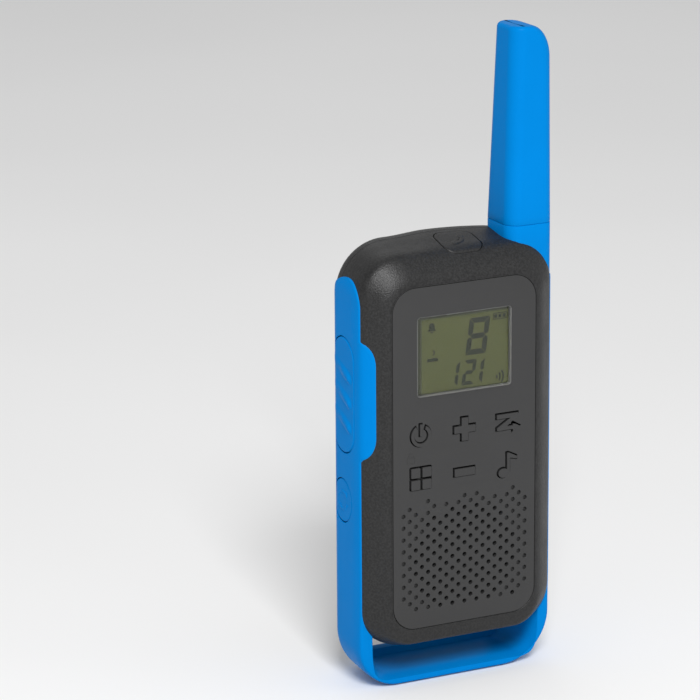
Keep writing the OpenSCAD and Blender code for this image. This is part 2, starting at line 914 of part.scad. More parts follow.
// The clip's arm: a bowed strip, with a thumb tab above the pin.
module belt_clip() {
    color(charcoal) difference() {
        union() {
            side_plate(-clip_w / 2, clip_w / 2) polygon([
                [clip_back - 0.6, clip_top], [clip_back, clip_top - 0.8], [clip_back, clip_bottom + 10],
                [clip_back - 1.2, clip_bottom + 2], [clip_back - 2.6, clip_bottom],
                [clip_back - 4.6, clip_bottom], [clip_back - 5, clip_bottom + 1.2],
                [clip_back - 4.6, clip_bottom + 3], [clip_back - clip_t, clip_bottom + 10],
                [clip_back - clip_t, clip_top - 0.2], [clip_back - clip_t + 0.5, clip_top]]);
            for (x = [-3.2, 2.2]) hull() {
                translate([x, clip_pin_y, clip_pin_z]) rotate([0, 90, 0])
                    cylinder(r = 2, h = 1, $fn = fine);
                translate([x, clip_back - clip_t, clip_pin_z - 3]) cube([1, 0.5, 6]);
            }
        }
        translate([-10, clip_pin_y, clip_pin_z]) rotate([0, 90, 0])
            cylinder(r = clip_pin_r + 0.04, h = 20);
    }
}

// ---- Side port ----

module usb_socket() {
    color("silver") translate([half_w - side_wall - 5.2, port_y - 1.4, port_z - 8]) difference() {
        cube([5, 2.8, 7.6]);
        translate([1, 0.4, 0.4]) cube([6, 2, 6.8]);
    }
}

module accessory_jack() {
    color([0.1, 0.1, 0.1]) difference() {
        translate([half_w - side_wall - 9.2, port_y - 2.3, port_z + 1.8]) cube([9, 4.6, 6]);
        translate([half_w - side_wall - 7.2, port_y, port_z + 4.8]) rotate([0, 90, 0])
            cylinder(r = 1.25, h = 12);
    }
}

module port_cover() {
    color(frame_blue) intersection() {
        casing(-rail_proud);
        translate([half_w - rail_t + 0.05, 0, 0]) side_plate(0, 6) port_outline();
    }
}

front_housing();
rear_housing();
side_frame();
antenna_sheath();
antenna_coil();
antenna_contact();
front_panel();
display_window();
lcd_module();
lcd_holder();
display_board();
board_connector();
main_board();
rf_shield();
board_components();
speaker_frame();
speaker_cone();
speaker_gasket();
microphone();
microphone_boot();
housing_seal();
housing_screws();
board_screws();
battery_cells();
battery_wrap();
battery_contacts();
battery_door();
belt_clip();
clip_pin();
clip_spring();
clip_bracket();
usb_socket();
accessory_jack();
port_cover();
ptt_switch();
pairing_switch();
call_switch();
ptt_button();
pairing_button();
call_button();
key(0);  // key_power
key(1);  // key_plus
key(2);  // key_scan
key(3);  // key_menu
key(4);  // key_minus
key(5);  // key_note
key_domes();
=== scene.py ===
"""Looks of the handheld two-way radio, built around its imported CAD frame.

Lengths are millimetres in this script and metres in the scene. X is right, Y is back, Z is up.
"""

import json
import math

import bmesh
import bpy
import numpy as np
from mathutils import Matrix, Vector


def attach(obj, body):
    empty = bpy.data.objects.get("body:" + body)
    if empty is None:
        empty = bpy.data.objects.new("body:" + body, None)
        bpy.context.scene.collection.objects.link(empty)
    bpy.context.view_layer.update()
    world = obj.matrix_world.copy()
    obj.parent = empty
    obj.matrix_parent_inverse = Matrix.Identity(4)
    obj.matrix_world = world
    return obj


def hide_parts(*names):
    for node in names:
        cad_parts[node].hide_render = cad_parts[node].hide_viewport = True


MM = 0.001

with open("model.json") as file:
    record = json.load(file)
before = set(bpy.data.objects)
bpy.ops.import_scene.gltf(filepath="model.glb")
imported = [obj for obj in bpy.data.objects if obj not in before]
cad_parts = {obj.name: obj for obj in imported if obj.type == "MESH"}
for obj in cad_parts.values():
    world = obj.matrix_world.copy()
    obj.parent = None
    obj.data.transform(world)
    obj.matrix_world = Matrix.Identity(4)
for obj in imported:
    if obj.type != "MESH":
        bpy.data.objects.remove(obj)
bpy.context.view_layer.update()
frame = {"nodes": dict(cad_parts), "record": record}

# ---------------------------------------------------------------- driving sizes

SPLIT_Y = 1.0
BACK_Y = 13.5
SIDE_WALL = 3.4
FACE_WALL = 2.4

# The casing from front to back: depth, half width, underside, top, lower and upper corner radius.
CASING = np.array([
    [-13.40, 19.95, 12.9, 103.35, 6.4, 6.4],
    [-13.30, 20.50, 12.55, 103.9, 6.6, 6.6],
    [-13.05, 21.20, 12.2, 104.7, 7.0, 7.1],
    [-12.50, 22.20, 11.85, 105.9, 7.8, 8.0],
    [-11.20, 23.90, 11.5, 107.9, 8.9, 9.4],
    [-8.90, 26.25, 11.25, 110.4, 9.8, 10.6],
    [-5.00, 26.75, 11.2, 111.7, 10.0, 11.0],
    [-1.00, 26.80, 11.2, 112.7, 10.0, 11.6],
    [2.50, 26.80, 11.2, 113.1, 10.0, 12.4],
    [6.00, 25.50, 12.0, 112.2, 9.5, 13.0],
    [10.20, 22.40, 13.3, 109.6, 8.8, 12.6],
    [12.40, 19.20, 14.6, 107.0, 7.5, 11.0],
    [13.25, 16.60, 15.7, 104.9, 6.4, 9.2],
    [13.50, 14.60, 16.8, 103.2, 5.6, 8.0],
])

PANEL_W = 39.6
PANEL_LOW, PANEL_HIGH = 16.1, 103.2
PANEL_R = 6.2
PANEL_FACE_Y = -13.42
PANEL_BACK_Y = -11.9
OPENING_W, OPENING_H, OPENING_R, OPENING_Z = 35.7, 83.3, 4.15, 60.0

DISPLAY_W, DISPLAY_H, DISPLAY_Z = 26.2, 20.2, 85.6
KEY_X, KEY_HIGH_Z, KEY_LOW_Z = 12.1, 65.9, 54.9

GRILLE_D, GRILLE_DX, GRILLE_DZ, GRILLE_Z = 1.12, 1.7, 1.53, 24.3
GRILLE_TOPS = [14, 15, 14, 13, 16, 15, 12, 15, 14, 15, 16, 15, 16, 15, 14, 15, 14, 15, 16, 15, 14]
SPEAKER_Z, MIC_X, MIC_Z = 33.0, 13.6, 21.24

RAIL_PROUD = 0.3
RAIL_FRONT, RAIL_BACK = -8.9, 6.4
LOOP_BACK = 9.6
PTT_Y, PTT_Z, PTT_W, PTT_L = -1.1, 75.2, 11.0, 29.5
PAIR_Y, PAIR_Z, PAIR_W, PAIR_H = -0.2, 47.9, 9.8, 11.2
PORT_Y, PORT_Z, PORT_W, PORT_H = -2.4, 52.0, 10.0, 22.0
CALL_X, CALL_W, CALL_FRONT, CALL_BACK = 2.4, 10.6, -9.8, -0.6
STEM_Y = -2.4
GAP = 0.15

JOINT_Z, TIP_Z = 114.2, 163.5
ROOT_BOX = (14.6, 27.04, -9.3, 4.6)
TIP_BOX = (16.0, 26.7, -8.9, 2.7)

DOOR_W, DOOR_LOW, DOOR_HIGH, DOOR_R, DOOR_T = 37.0, 14.9, 64.3, 5.0, 1.45
BAY_W, BAY_LOW, BAY_HIGH, BAY_FLOOR_Y, BAY_WALL = 33.4, 16.8, 62.4, 1.3, 1.2
SCREW_X, SCREW_ZS = 19.2, (66.6, 96.0)


# ---------------------------------------------------------------- materials

def node_tools(name):
    """A new node material with its nodes, its link function and its shader."""
    material = bpy.data.materials.new(name)
    material.use_nodes = True
    nodes = material.node_tree.nodes
    shader = nodes["Principled BSDF"]
    return material, nodes, material.node_tree.links.new, shader


def noise(nodes, link, scale, detail=2.0, roughness=0.5):
    """A noise value fixed to the piece."""
    place = nodes.new("ShaderNodeTexCoord")
    texture = nodes.new("ShaderNodeTexNoise")
    texture.inputs["Scale"].default_value = scale
    texture.inputs["Detail"].default_value = detail
    texture.inputs["Roughness"].default_value = roughness
    link(place.outputs["Object"], texture.inputs["Vector"])
    return texture.outputs["Fac"]


def ramp(nodes, link, value, stops):
    """A colour or grey for each value, between the given stops."""
    node = nodes.new("ShaderNodeValToRGB")
    link(value, node.inputs["Fac"])
    elements = node.color_ramp.elements
    while len(elements) < len(stops):
        elements.new(0.5)
    for element, (place, colour) in zip(elements, stops):
        element.position = place
        element.color = (*colour, 1.0) if hasattr(colour, "__len__") else (colour,) * 3 + (1.0,)
    return node.outputs["Color"]


def uneven(nodes, link, socket, scale, detail, stops):
    """Feeds a socket with noise between two stops."""
    link(ramp(nodes, link, noise(nodes, link, scale, detail), stops), socket)


def moulded(name, colour, rough=0.45, grain=2200.0, depth=0.02, tone=0.10, scuff=0.06,
            metallic=0.0, specular=0.5, speckle=0.0):
    """A moulded or plated surface: fine grain in the relief, uneven tone, and scuffs in the gloss."""
    material, nodes, link, shader = node_tools(name)
    shader.inputs["Metallic"].default_value = metallic
    shader.inputs["Specular IOR Level"].default_value = specular
    dark = [c * (1 - tone) for c in colour]
    light = [min(1.0, c * (1 + tone)) for c in colour]
    broad = noise(nodes, link, 45.0, 3.0, 0.6)
    base = ramp(nodes, link, broad, [(0.3, dark), (0.7, light)])
    if speckle:
        fine = noise(nodes, link, grain * 0.8, 1.0)
        spots = ramp(nodes, link, fine, [(0.35, 1 - speckle), (0.68, 1 + speckle)])
        mix = nodes.new("ShaderNodeMix")
        mix.data_type = "RGBA"
        mix.blend_type = "MULTIPLY"
        mix.inputs["Factor"].default_value = 1.0
        link(base, mix.inputs["A"])
        link(spots, mix.inputs["B"])
        base = mix.outputs["Result"]
    link(base, shader.inputs["Base Color"])
    wear = noise(nodes, link, 160.0, 4.0, 0.65)
    gloss = ramp(nodes, link, wear, [(0.3, rough - scuff), (0.7, rough + scuff)])
    link(gloss, shader.inputs["Roughness"])
    relief = noise(nodes, link, grain, 2.0, 0.6)
    bump = nodes.new("ShaderNodeBump")
    bump.inputs["Strength"].default_value = 1.0
    bump.inputs["Distance"].default_value = depth * MM
    link(relief, bump.inputs["Height"])
    link(bump.outputs["Normal"], shader.inputs["Normal"])
    return material


def clear_plastic(name):
    """The thin, slightly hazy window over the display."""
    material, nodes, link, shader = node_tools(name)
    shader.inputs["Base Color"].default_value = (0.93, 0.96, 0.93, 1.0)
    shader.inputs["Transmission Weight"].default_value = 1.0
    shader.inputs["IOR"].default_value = 1.25
    uneven(nodes, link, shader.inputs["Roughness"], 220.0, 3.0, [(0.35, 0.0), (0.75, 0.015)])
    return material


def display_green(name):
    """The display's olive ground."""
    material, nodes, link, shader = node_tools(name)
    shader.inputs["Specular IOR Level"].default_value = 0.35
    uneven(nodes, link, shader.inputs["Base Color"], 900.0, 2.0,
           [(0.3, (0.092, 0.095, 0.031)), (0.7, (0.103, 0.106, 0.036))])
    uneven(nodes, link, shader.inputs["Roughness"], 300.0, 2.0, [(0.3, 0.38), (0.7, 0.46)])
    return material


def circuit(name):
    """Solder mask with a pattern of copper tracks showing through it."""
    material, nodes, link, shader = node_tools(name)
    place = nodes.new("ShaderNodeTexCoord")
    tracks = nodes.new("ShaderNodeTexBrick")
    tracks.inputs["Scale"].default_value = 420.0
    tracks.inputs["Mortar Size"].default_value = 0.03
    tracks.inputs["Color1"].default_value = (0.006, 0.085, 0.035, 1.0)
    tracks.inputs["Color2"].default_value = (0.008, 0.11, 0.045, 1.0)
    tracks.inputs["Mortar"].default_value = (0.03, 0.2, 0.09, 1.0)
    turn = nodes.new("ShaderNodeMapping")
    turn.inputs["Rotation"].default_value = (math.pi / 2, 0.0, 0.0)
    link(place.outputs["Object"], turn.inputs["Vector"])
    link(turn.outputs["Vector"], tracks.inputs["Vector"])
    link(tracks.outputs["Color"], shader.inputs["Base Color"])
    uneven(nodes, link, shader.inputs["Roughness"], 600.0, 2.0, [(0.3, 0.3), (0.7, 0.42)])
    return material


MATERIALS = {
    "casing_black": moulded("casing_black", (0.0175, 0.0175, 0.0177), 0.40, 2500, 0.085, 0.05, 0.05,
                            specular=0.30, speckle=0.30),
    "panel_grey": moulded("panel_grey", (0.033, 0.033, 0.0335), 0.42, 3600, 0.012, 0.04, 0.04,
                          specular=0.32),
    "frame_blue": moulded("frame_blue", (0.0, 0.190, 0.560), 0.36, 3200, 0.008, 0.03, 0.05,
                          specular=0.02),
    "blue_rubber": moulded("blue_rubber", (0.0, 0.175, 0.520), 0.5, 2800, 0.014, 0.03, 0.05,
                           specular=0.03),
    "lens_clear": clear_plastic("lens_clear"),
    "lcd_glass": display_green("lcd_glass"),
    "light_guide": moulded("light_guide", (0.7, 0.7, 0.66), 0.4, 1500, 0.01),
    "circuit_board": circuit("circuit_board"),
    "sheet_metal": moulded("sheet_metal", (0.62, 0.62, 0.6), 0.32, 900, 0.01, 0.08, 0.1, 1.0),
    "chip_black": moulded("chip_black", (0.02, 0.02, 0.021), 0.5, 3000, 0.02),
    "speaker_basket": moulded("speaker_basket", (0.04, 0.04, 0.045), 0.45, 1800, 0.02),
    "cone_paper": moulded("cone_paper", (0.02, 0.02, 0.022), 0.8, 1600, 0.06, 0.2),
    "black_rubber": moulded("black_rubber", (0.014, 0.014, 0.014), 0.75, 2400, 0.04),
    "key_rubber": moulded("key_rubber", (0.0335, 0.0335, 0.034), 0.45, 2800, 0.014, 0.05, 0.05,
                          specular=0.32),
    "screw_steel": moulded("screw_steel", (0.5, 0.5, 0.5), 0.3, 1200, 0.01, 0.1, 0.08, 1.0),
    "spring_steel": moulded("spring_steel", (0.58, 0.58, 0.56), 0.26, 1200, 0.008, 0.06, 0.06, 1.0),
    "gold_brass": moulded("gold_brass", (0.78, 0.52, 0.18), 0.28, 1200, 0.008, 0.06, 0.08, 1.0),
    "cell_wrap": moulded("cell_wrap", (0.02, 0.2, 0.09), 0.3, 500, 0.02, 0.1),
    "pack_wrap": moulded("pack_wrap", (0.015, 0.06, 0.3), 0.28, 420, 0.03, 0.12),
}
SEGMENT_BLACK = moulded("segment_black", (0.012, 0.014, 0.006), 0.42, 2600, 0.002)
# Painted shadow: two dark olive layers laid over the display's edges stand in for the shade the window's
# walls cast on the glass. The darker one is at the edge and a mid tone lies further in.
PAINTED_SHADOW_SOFT = moulded("painted_shadow_soft", (0.062, 0.067, 0.027), 0.45, 2600, 0.002, 0.05, 0.05)
PAINTED_SHADOW_DARK = moulded("painted_shadow_dark", (0.030, 0.033, 0.014), 0.45, 2600, 0.002, 0.05, 0.05)
# Painted highlight: the clear window's bevelled rim is coloured opaque light grey to stand in for the
# light its edge catches.
RIM_PAINTED_HIGHLIGHT = moulded("rim_painted_highlight", (0.20, 0.20, 0.195), 0.25, 1500, 0.004, 0.05, 0.05)


# ---------------------------------------------------------------- mesh tools

def add(name, vertices, faces, slot, body="radio", replaces=(), sharp=32.0, material=None):
    """Makes a piece from points in millimetres and rides it on its body."""
    mesh = bpy.data.meshes.new(name)
    mesh.from_pydata([tuple(float(c) * MM for c in v) for v in vertices], [], faces)
    return finish_piece(name, mesh, slot, body, replaces, sharp, material)


def finish_piece(name, mesh, slot, body, replaces, sharp, material=None):
    """Cleans a mesh, gives it its material and edges, rides it on its body and hides the CAD parts it
    replaces.
    """
    tidy = bmesh.new()
    tidy.from_mesh(mesh)
    bmesh.ops.remove_doubles(tidy, verts=tidy.verts, dist=1e-6)
    bmesh.ops.recalc_face_normals(tidy, faces=tidy.faces)
    tidy.to_mesh(mesh)
    tidy.free()
    piece = bpy.data.objects.new(name, mesh)
    bpy.context.scene.collection.objects.link(piece)
    mesh.materials.clear()
    mesh.materials.append(material or MATERIALS[slot])
    mesh.shade_smooth()
    mesh.set_sharp_from_angle(angle=math.radians(sharp))
    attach(piece, body)
    if replaces:
        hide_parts(*replaces)
    return piece


def loose(vertices, faces):
    """A helper object, for a boolean, that isn't part of the model."""
    mesh = bpy.data.meshes.new("helper")
    mesh.from_pydata([tuple(float(c) * MM for c in v) for v in vertices], [], faces)
    tidy = bmesh.new()
    tidy.from_mesh(mesh)
    bmesh.ops.remove_doubles(tidy, verts=tidy.verts, dist=1e-7)
    bmesh.ops.recalc_face_normals(tidy, faces=tidy.faces)
    tidy.to_mesh(mesh)
    tidy.free()
    return held(mesh)


def held(mesh):
    """A helper object round a finished mesh."""
    helper = bpy.data.objects.new("helper", mesh)
    bpy.context.scene.collection.objects.link(helper)
    return helper


def join(shapes):
    """One list of vertices and faces from several."""
    vertices, faces = [], []
    for v, f in shapes:
        start = len(vertices)
        vertices.extend(v)
        faces.extend([tuple(i + start for i in face) for face in f])
    return vertices, faces


def carve(base, cutters, operation="DIFFERENCE"):
    """The mesh of `base` after booleans with the cutters. The helpers are removed."""
    for cutter in cutters:
        step = base.modifiers.new("carve", "BOOLEAN")
        step.operation = operation
        step.solver = "EXACT"
        step.object = cutter
    bpy.context.view_layer.update()
    graph = bpy.context.evaluated_depsgraph_get()
    mesh = bpy.data.meshes.new_from_object(base.evaluated_get(graph))
    for helper in [base, *cutters]:
        bpy.data.objects.remove(helper)
    return mesh


def bridge(loops, closed_list=True, close_ring=True):
    """Quads between loops of equal length."""
    count, n = len(loops), len(loops[0])
    vertices = [p for loop in loops for p in loop]
    faces = []
    for k in range(count if closed_list else count - 1):
        a, b = k * n, ((k + 1) % count) * n
        for i in range(n if close_ring else n - 1):
            j = (i + 1) % n
            faces.append((a + i, a + j, b + j, b + i))
    return vertices, faces


def capped(loops):
    """A solid from a stack of loops, with flat ends."""
    vertices, faces = bridge(loops, closed_list=False)
    n = len(loops[0])
    faces.append(tuple(range(n)))
    faces.append(tuple(reversed(range(len(vertices) - n, len(vertices)))))
    return vertices, faces


def arc(cx, cy, r, start, end, n):
    """Points along an arc, from `start` to `end` degrees."""
    return [(cx + r * math.cos(math.radians(a)), cy + r * math.sin(math.radians(a)))
            for a in np.linspace(start, end, n)]


def rounded_rect(cx, cy, w, h, r, n=10):
    """Closed outline of a rectangle with round corners."""
    x, y = w / 2 - r, h / 2 - r
    corners = [(x, -y, -90), (x, y, 0), (-x, y, 90), (-x, -y, 180)]
    return [p for dx, dy, a in corners for p in arc(cx + dx, cy + dy, r, a, a + 90, n)]


def ellipse(cx, cy, w, h, n=72):
    return [(cx + w / 2 * math.cos(a), cy + h / 2 * math.sin(a))
            for a in np.linspace(0, 2 * math.pi, n, endpoint=False)]


def softened(points, r, n=4):
    """An outline with each corner rounded by about `r`."""
    out = []
    count = len(points)
    for i in range(count):
        p, a, b = (np.array(points[k % count], float) for k in (i, i - 1, i + 1))
        da, db = np.linalg.norm(a - p), np.linalg.norm(b - p)
        start = p + (a - p) * min(r / da, 0.45)
        end = p + (b - p) * min(r / db, 0.45)
        for t in np.linspace(0, 1, n):
            out.append(tuple((1 - t) ** 2 * start + 2 * t * (1 - t) * p + t * t * end))
    return out


def plate_mesh(loops, y_front, y_back, bevel=0.06):
    """A plate in the XZ plane with holes, its outer edges bevelled, from filled outlines."""
    curve = bpy.data.curves.new("outline", "CURVE")
    curve.dimensions = "2D"
    curve.fill_mode = "BOTH"
    curve.extrude = ((y_back - y_front) / 2 - bevel) * MM
    curve.bevel_depth = bevel * MM
    curve.bevel_resolution = 2
    curve.offset = -bevel * MM
    for loop in loops:
        spline = curve.splines.new("POLY")
        spline.points.add(len(loop) - 1)
        for point, (x, z) in zip(spline.points, loop):
            point.co = (x * MM, z * MM, 0.0, 1.0)
        spline.use_cyclic_u = True
    helper = bpy.data.objects.new("outline", curve)
    bpy.context.scene.collection.objects.link(helper)
    bpy.context.view_layer.update()
    graph = bpy.context.evaluated_depsgraph_get()
    mesh = bpy.data.meshes.new_from_object(helper.evaluated_get(graph))
    bpy.data.objects.remove(helper)
    centre = Vector((0.0, (y_front + y_back) / 2 * MM, 0.0))
    mesh.transform(Matrix.Translation(centre) @ Matrix.Rotation(math.pi / 2, 4, "X"))
    return mesh


def plates(name, parts, slot, body="radio", replaces=(), material=None, sharp=32.0):
    """One piece from several plates, each (loops, front, back, bevel)."""
    whole = bmesh.new()
    for loops, y_front, y_back, bevel in parts:
        mesh = plate_mesh(loops, y_front, y_back, bevel)
        whole.from_mesh(mesh)
        bpy.data.meshes.remove(mesh)
    mesh = bpy.data.meshes.new(name)
    whole.to_mesh(mesh)
    whole.free()
    return finish_piece(name, mesh, slot, body, replaces, sharp, material)


# ---------------------------------------------------------------- the casing's surface

def soft_step(value, low, high):
    t = np.clip((value - low) / (high - low), 0, 1)
    return t * t * (3 - 2 * t)


def smooth_through(xs, ys, x):
    """Monotone cubic through the given points."""
    x = np.clip(np.asarray(x, float), xs[0], xs[-1])
    h = np.diff(xs)
    d = np.diff(ys) / h
    m = np.zeros(len(xs))
    same = d[:-1] * d[1:] > 0
    w1, w2 = 2 * h[1:] + h[:-1], h[1:] + 2 * h[:-1]
    safe = np.where(same, d[:-1] * d[1:], 1.0)
    mean = (w1 + w2) * safe / np.where(same, w1 * d[1:] + w2 * d[:-1], 1.0)
    m[1:-1] = np.where(same, mean, 0.0)
    m[0], m[-1] = d[0], d[-1]
    k = np.clip(np.searchsorted(xs, x) - 1, 0, len(h) - 1)
    t = (x - xs[k]) / h[k]
    a = ys[k] * (1 + 2 * t) * (1 - t) ** 2 + ys[k + 1] * t * t * (3 - 2 * t)
    return a + h[k] * (m[k] * t * (1 - t) ** 2 - m[k + 1] * t * t * (1 - t))


def section(y, side=0.0, face=0.0):
    """Half width, underside, top and corner radii of the casing at depth y, drawn in on demand."""
    depth = np.asarray(y, float) / (1 - face / BACK_Y)
    half, low, high, r_low, r_high = (smooth_through(CASING[:, 0], CASING[:, c], depth)
                                      for c in range(1, 6))
    return half - side, low + side, high - side, np.maximum(r_low - side, 1), np.maximum(
        r_high - side, 1)


def side_x(y, z):
    """Half width of the casing at a depth and height, its round corners included."""
    half, low, high, r_low, r_high = section(y)
    z = np.asarray(z, float)
    up = np.clip(z - (high - r_high), 0, r_high)
    down = np.clip((low + r_low) - z, 0, r_low)
    x = half - r_high + np.sqrt(np.maximum(r_high ** 2 - up ** 2, 0))
    return x - r_low + np.sqrt(np.maximum(r_low ** 2 - down ** 2, 0))


def crown(x, y):
    """How far the top falls away from its highest line, which lies a little left of the middle."""
    x = np.asarray(x, float)
    fall = np.where(x > -2, 1.3 * ((x + 2) / 20) ** 2, 0.65 * soft_step(-x, 2, 13))
    return fall * soft_step(np.asarray(y, float), -9.3, -2.0)


def top_z(x, y):
    """Height of the casing's top at a place seen from above."""
    half, _, high, _, r_high = section(y)
    out = np.clip(np.abs(np.asarray(x, float)) - (half - r_high), 0, r_high)
    return high - r_high + np.sqrt(np.maximum(r_high ** 2 - out ** 2, 0)) - crown(x, y)


def casing_ring(y, side=0.0, face=0.0):
    """The casing's outline at one depth, from the middle of the underside, counter-clockwise."""
    half, low, high, r_low, r_high = (float(v) for v in section(y, side, face))
    return ring_points(half, low, high, r_low, r_high, y, True)


def ring_points(half, low, high, r_low, r_high, y, crowned_top=False):
    """A rounded outline at one depth, always with the same number of points."""
    points = [(x, low) for x in np.linspace(0, half - r_low, 14)[:-1]]
    points += arc(half - r_low, low + r_low, r_low, -90, 0, 16)[:-1]
    points += [(half, z) for z in np.linspace(low + r_low, high - r_high, 70)[:-1]]
    points += arc(half - r_high, high - r_high, r_high, 0, 90, 18)[:-1]
    points += [(x, high) for x in np.linspace(half - r_high, 0, 14)[:-1]]
    right = np.array(points)
    ends = np.array([[0.0, high]])
    left = right[1:][::-1] * [-1, 1]
    ring = np.concatenate([right, ends, left])
    if crowned_top:
        ring[:, 1] -= crown(ring[:, 0], y) * np.clip((ring[:, 1] - (high - 16)) / 16, 0, 1)
    return [(x, y, z) for x, z in ring]


def outline_ring(w, z_low, z_high, r, y):
    """A rounded rectangle with the same number of points as a casing ring."""
    return ring_points(w / 2, z_low, z_high, r, r, y)


def prism(outline, axis, low, high):
    """A straight prism. The outline is (Y, Z) for axis X, (X, Z) for Y and (X, Y) for Z."""
    place = {"X": lambda u, v, d: (d, u, v), "Y": lambda u, v, d: (u, d, v),
             "Z": lambda u, v, d: (u, v, d)}[axis]
    return capped([[place(u, v, d) for u, v in outline] for d in (low, high)])


def block(x0, x1, y0, y1, z0, z1):
    return prism([(x0, y0), (x1, y0), (x1, y1), (x0, y1)], "Z", z0, z1)


def stadium(grow=0.0):
    return rounded_rect(PTT_Y, PTT_Z, PTT_W + 2 * grow, PTT_L + 2 * grow, PTT_W / 2 + grow - 0.01, 22)


def pair_outline(grow=0.0):
    return ellipse(PAIR_Y, PAIR_Z, PAIR_W + 2 * grow, PAIR_H + 2 * grow)


def port_outline(grow=0.0):
    return rounded_rect(PORT_Y, PORT_Z, PORT_W + 2 * grow, PORT_H + 2 * grow, 3.5 + grow, 12)


def call_outline(grow=0.0):
    y = (CALL_FRONT + CALL_BACK) / 2
    return rounded_rect(CALL_X, y, CALL_W + 2 * grow, CALL_BACK - CALL_FRONT + 2 * grow,
                        2.6 + grow, 14)


def door_outline(grow=0.0):
    return rounded_rect(0, (DOOR_LOW + DOOR_HIGH) / 2, DOOR_W + 2 * grow,
                        DOOR_HIGH - DOOR_LOW + 2 * grow, DOOR_R + grow, 12)


def side_pockets():
    """Room in the casing's sides for the buttons, their stems and the port's cover."""
    return join([
        prism(stadium(GAP), "X", -40, -24.25),
        prism(pair_outline(GAP), "X", -40, -24.25),
        prism(port_outline(GAP), "X", 25.15, 40),
        block(-26, -20, STEM_Y - 2.1, STEM_Y + 2.1, PTT_Z - 8, PTT_Z + 8),
        block(-26, -20, STEM_Y - 1.9, STEM_Y + 1.9, PAIR_Z - 1.9, PAIR_Z + 1.9),
        block(20, 26, PORT_Y - 2.1, PORT_Y + 2.1, PORT_Z - 8.6, PORT_Z + 8.6),
    ])


def bosses(radius, y0, y1):
    """Round posts, or holes, at the four casing screws."""
    return join([prism(ellipse(x, z, 2 * radius, 2 * radius, 40), "Y", y0, y1)
                 for x in (-SCREW_X, SCREW_X) for z in SCREW_ZS])


# ---------------------------------------------------------------- casing halves

def front_housing():
    """The front half: a bead round the panel's pocket, rounded shoulders, and a hollow back."""
    outer_depths = [CASING[0, 0] + d for d in
                    (0, 0.05, 0.1, 0.2, 0.35, 0.6, 0.9, 1.3, 1.8, 2.4, 3.1, 3.8, 4.5, 5.3, 6.3, 7.5,
                     8.8, 10.2, 11.6, 13.0)] + [SPLIT_Y - 0.12]
    inner_depths = [SPLIT_Y, -1.5, -4.0, -6.0, -8.0, -9.5, -10.6, -11.1]
    pocket = [(0.12, PANEL_BACK_Y + 0.02), (0.12, -13.2), (0.16, -13.36), (0.26, -13.43),
              (0.42, -13.44)]
    loops = [outline_ring(OPENING_W, OPENING_Z - OPENING_H / 2, OPENING_Z + OPENING_H / 2,
                          OPENING_R, y) for y in (-11.1, PANEL_BACK_Y + 0.02)]
    for grow, y in pocket:
        loops.append(outline_ring(PANEL_W + 2 * grow, PANEL_LOW - grow, PANEL_HIGH + grow,
                                  PANEL_R + grow, y))
    loops += [casing_ring(y) for y in outer_depths]
    loops.append(casing_ring(SPLIT_Y, side=0.12))
    loops += [casing_ring(y, SIDE_WALL, FACE_WALL) for y in inner_depths]
    base = loose(*bridge(loops))
    cutters = [loose(*side_pockets()), loose(*prism(call_outline(GAP), "Z", 99, 120))]
    mesh = carve(base, cutters)
    return finish_piece("front_shell", mesh, "casing_black", "radio", ["front_housing"], 28.0)


def closed_casing(y0, y1, side=0.0, face=0.0, steps=26):
    """A solid of the casing's form between two depths, its ends closed by shrinking rings."""
    depths = y0 + (y1 - y0) * np.sin(np.linspace(0, math.pi / 2, steps))
    loops = [casing_ring(float(y), side, face) for y in depths]
    last = np.array(loops[-1])
    middle = last.mean(axis=0)
    for share in (0.985, 0.8, 0.55, 0.3, 0.1):
        loops.append([tuple(p) for p in middle + (last - middle) * [share, 1, share]])
    return capped(loops)


def rear_housing():
    """The rear half with its battery bay, screw recesses and the seat of the battery door."""
    base = loose(*closed_casing(SPLIT_Y + 0.02, BACK_Y))
    inside = loose(*closed_casing(SPLIT_Y - 2, BACK_Y * (1 - FACE_WALL / BACK_Y), SIDE_WALL,
                                  FACE_WALL))
    shell = held(carve(base, [inside]))
    wall = loose(*join([
        block(-BAY_W / 2 - BAY_WALL, BAY_W / 2 + BAY_WALL, BAY_FLOOR_Y - BAY_WALL, 11.6,
              BAY_LOW - BAY_WALL, BAY_HIGH + BAY_WALL),
        bosses(2.6, 1.1, 11.3)]))
    walled = held(carve(shell, [wall], "UNION"))
    skin = loose(*prism(door_outline(GAP), "Y", 6, 20))
    inset = loose(*closed_casing(SPLIT_Y - 4, BACK_Y - DOOR_T - 0.05, DOOR_T + 0.05, DOOR_T + 0.05))
    seat = held(carve(skin, [inset]))
    cutters = [
        loose(*block(-BAY_W / 2, BAY_W / 2, BAY_FLOOR_Y, 30, BAY_LOW, BAY_HIGH)),
        seat,
        loose(*bosses(1.1, 0, 9.7)),
        loose(*bosses(2.1, 9.6, 30)),
        loose(*side_pockets()),
    ]
    mesh = carve(walled, cutters)
    return finish_piece("rear_shell", mesh, "casing_black", "radio", ["rear_housing"], 28.0)


def battery_door():
    """The casing's skin inside the door's outline, with a hollow for the thumb at its lower end."""
    base = loose(*closed_casing(4.0, BACK_Y))
    keep = loose(*prism(door_outline(0), "Y", 6, 20))
    kept = held(carve(base, [keep], "INTERSECT"))
    inset = loose(*closed_casing(SPLIT_Y - 4, BACK_Y - DOOR_T, DOOR_T, DOOR_T))
    hollow = []
    for share in np.linspace(-1, 1, 13):
        r = 5.2 * math.sqrt(max(0.0, 1 - share * share)) + 0.01
        hollow.append([(x, BACK_Y + 0.25 + 0.9 * share, z) for x, z in
                       ellipse(0, DOOR_LOW + 9, 2 * r * 1.5, 2 * r)])
    dish = loose(*capped(hollow))
    mesh = carve(kept, [inset, dish])
    return finish_piece("door_cover", mesh, "casing_black", "battery_door", ["battery_door"], 28.0)


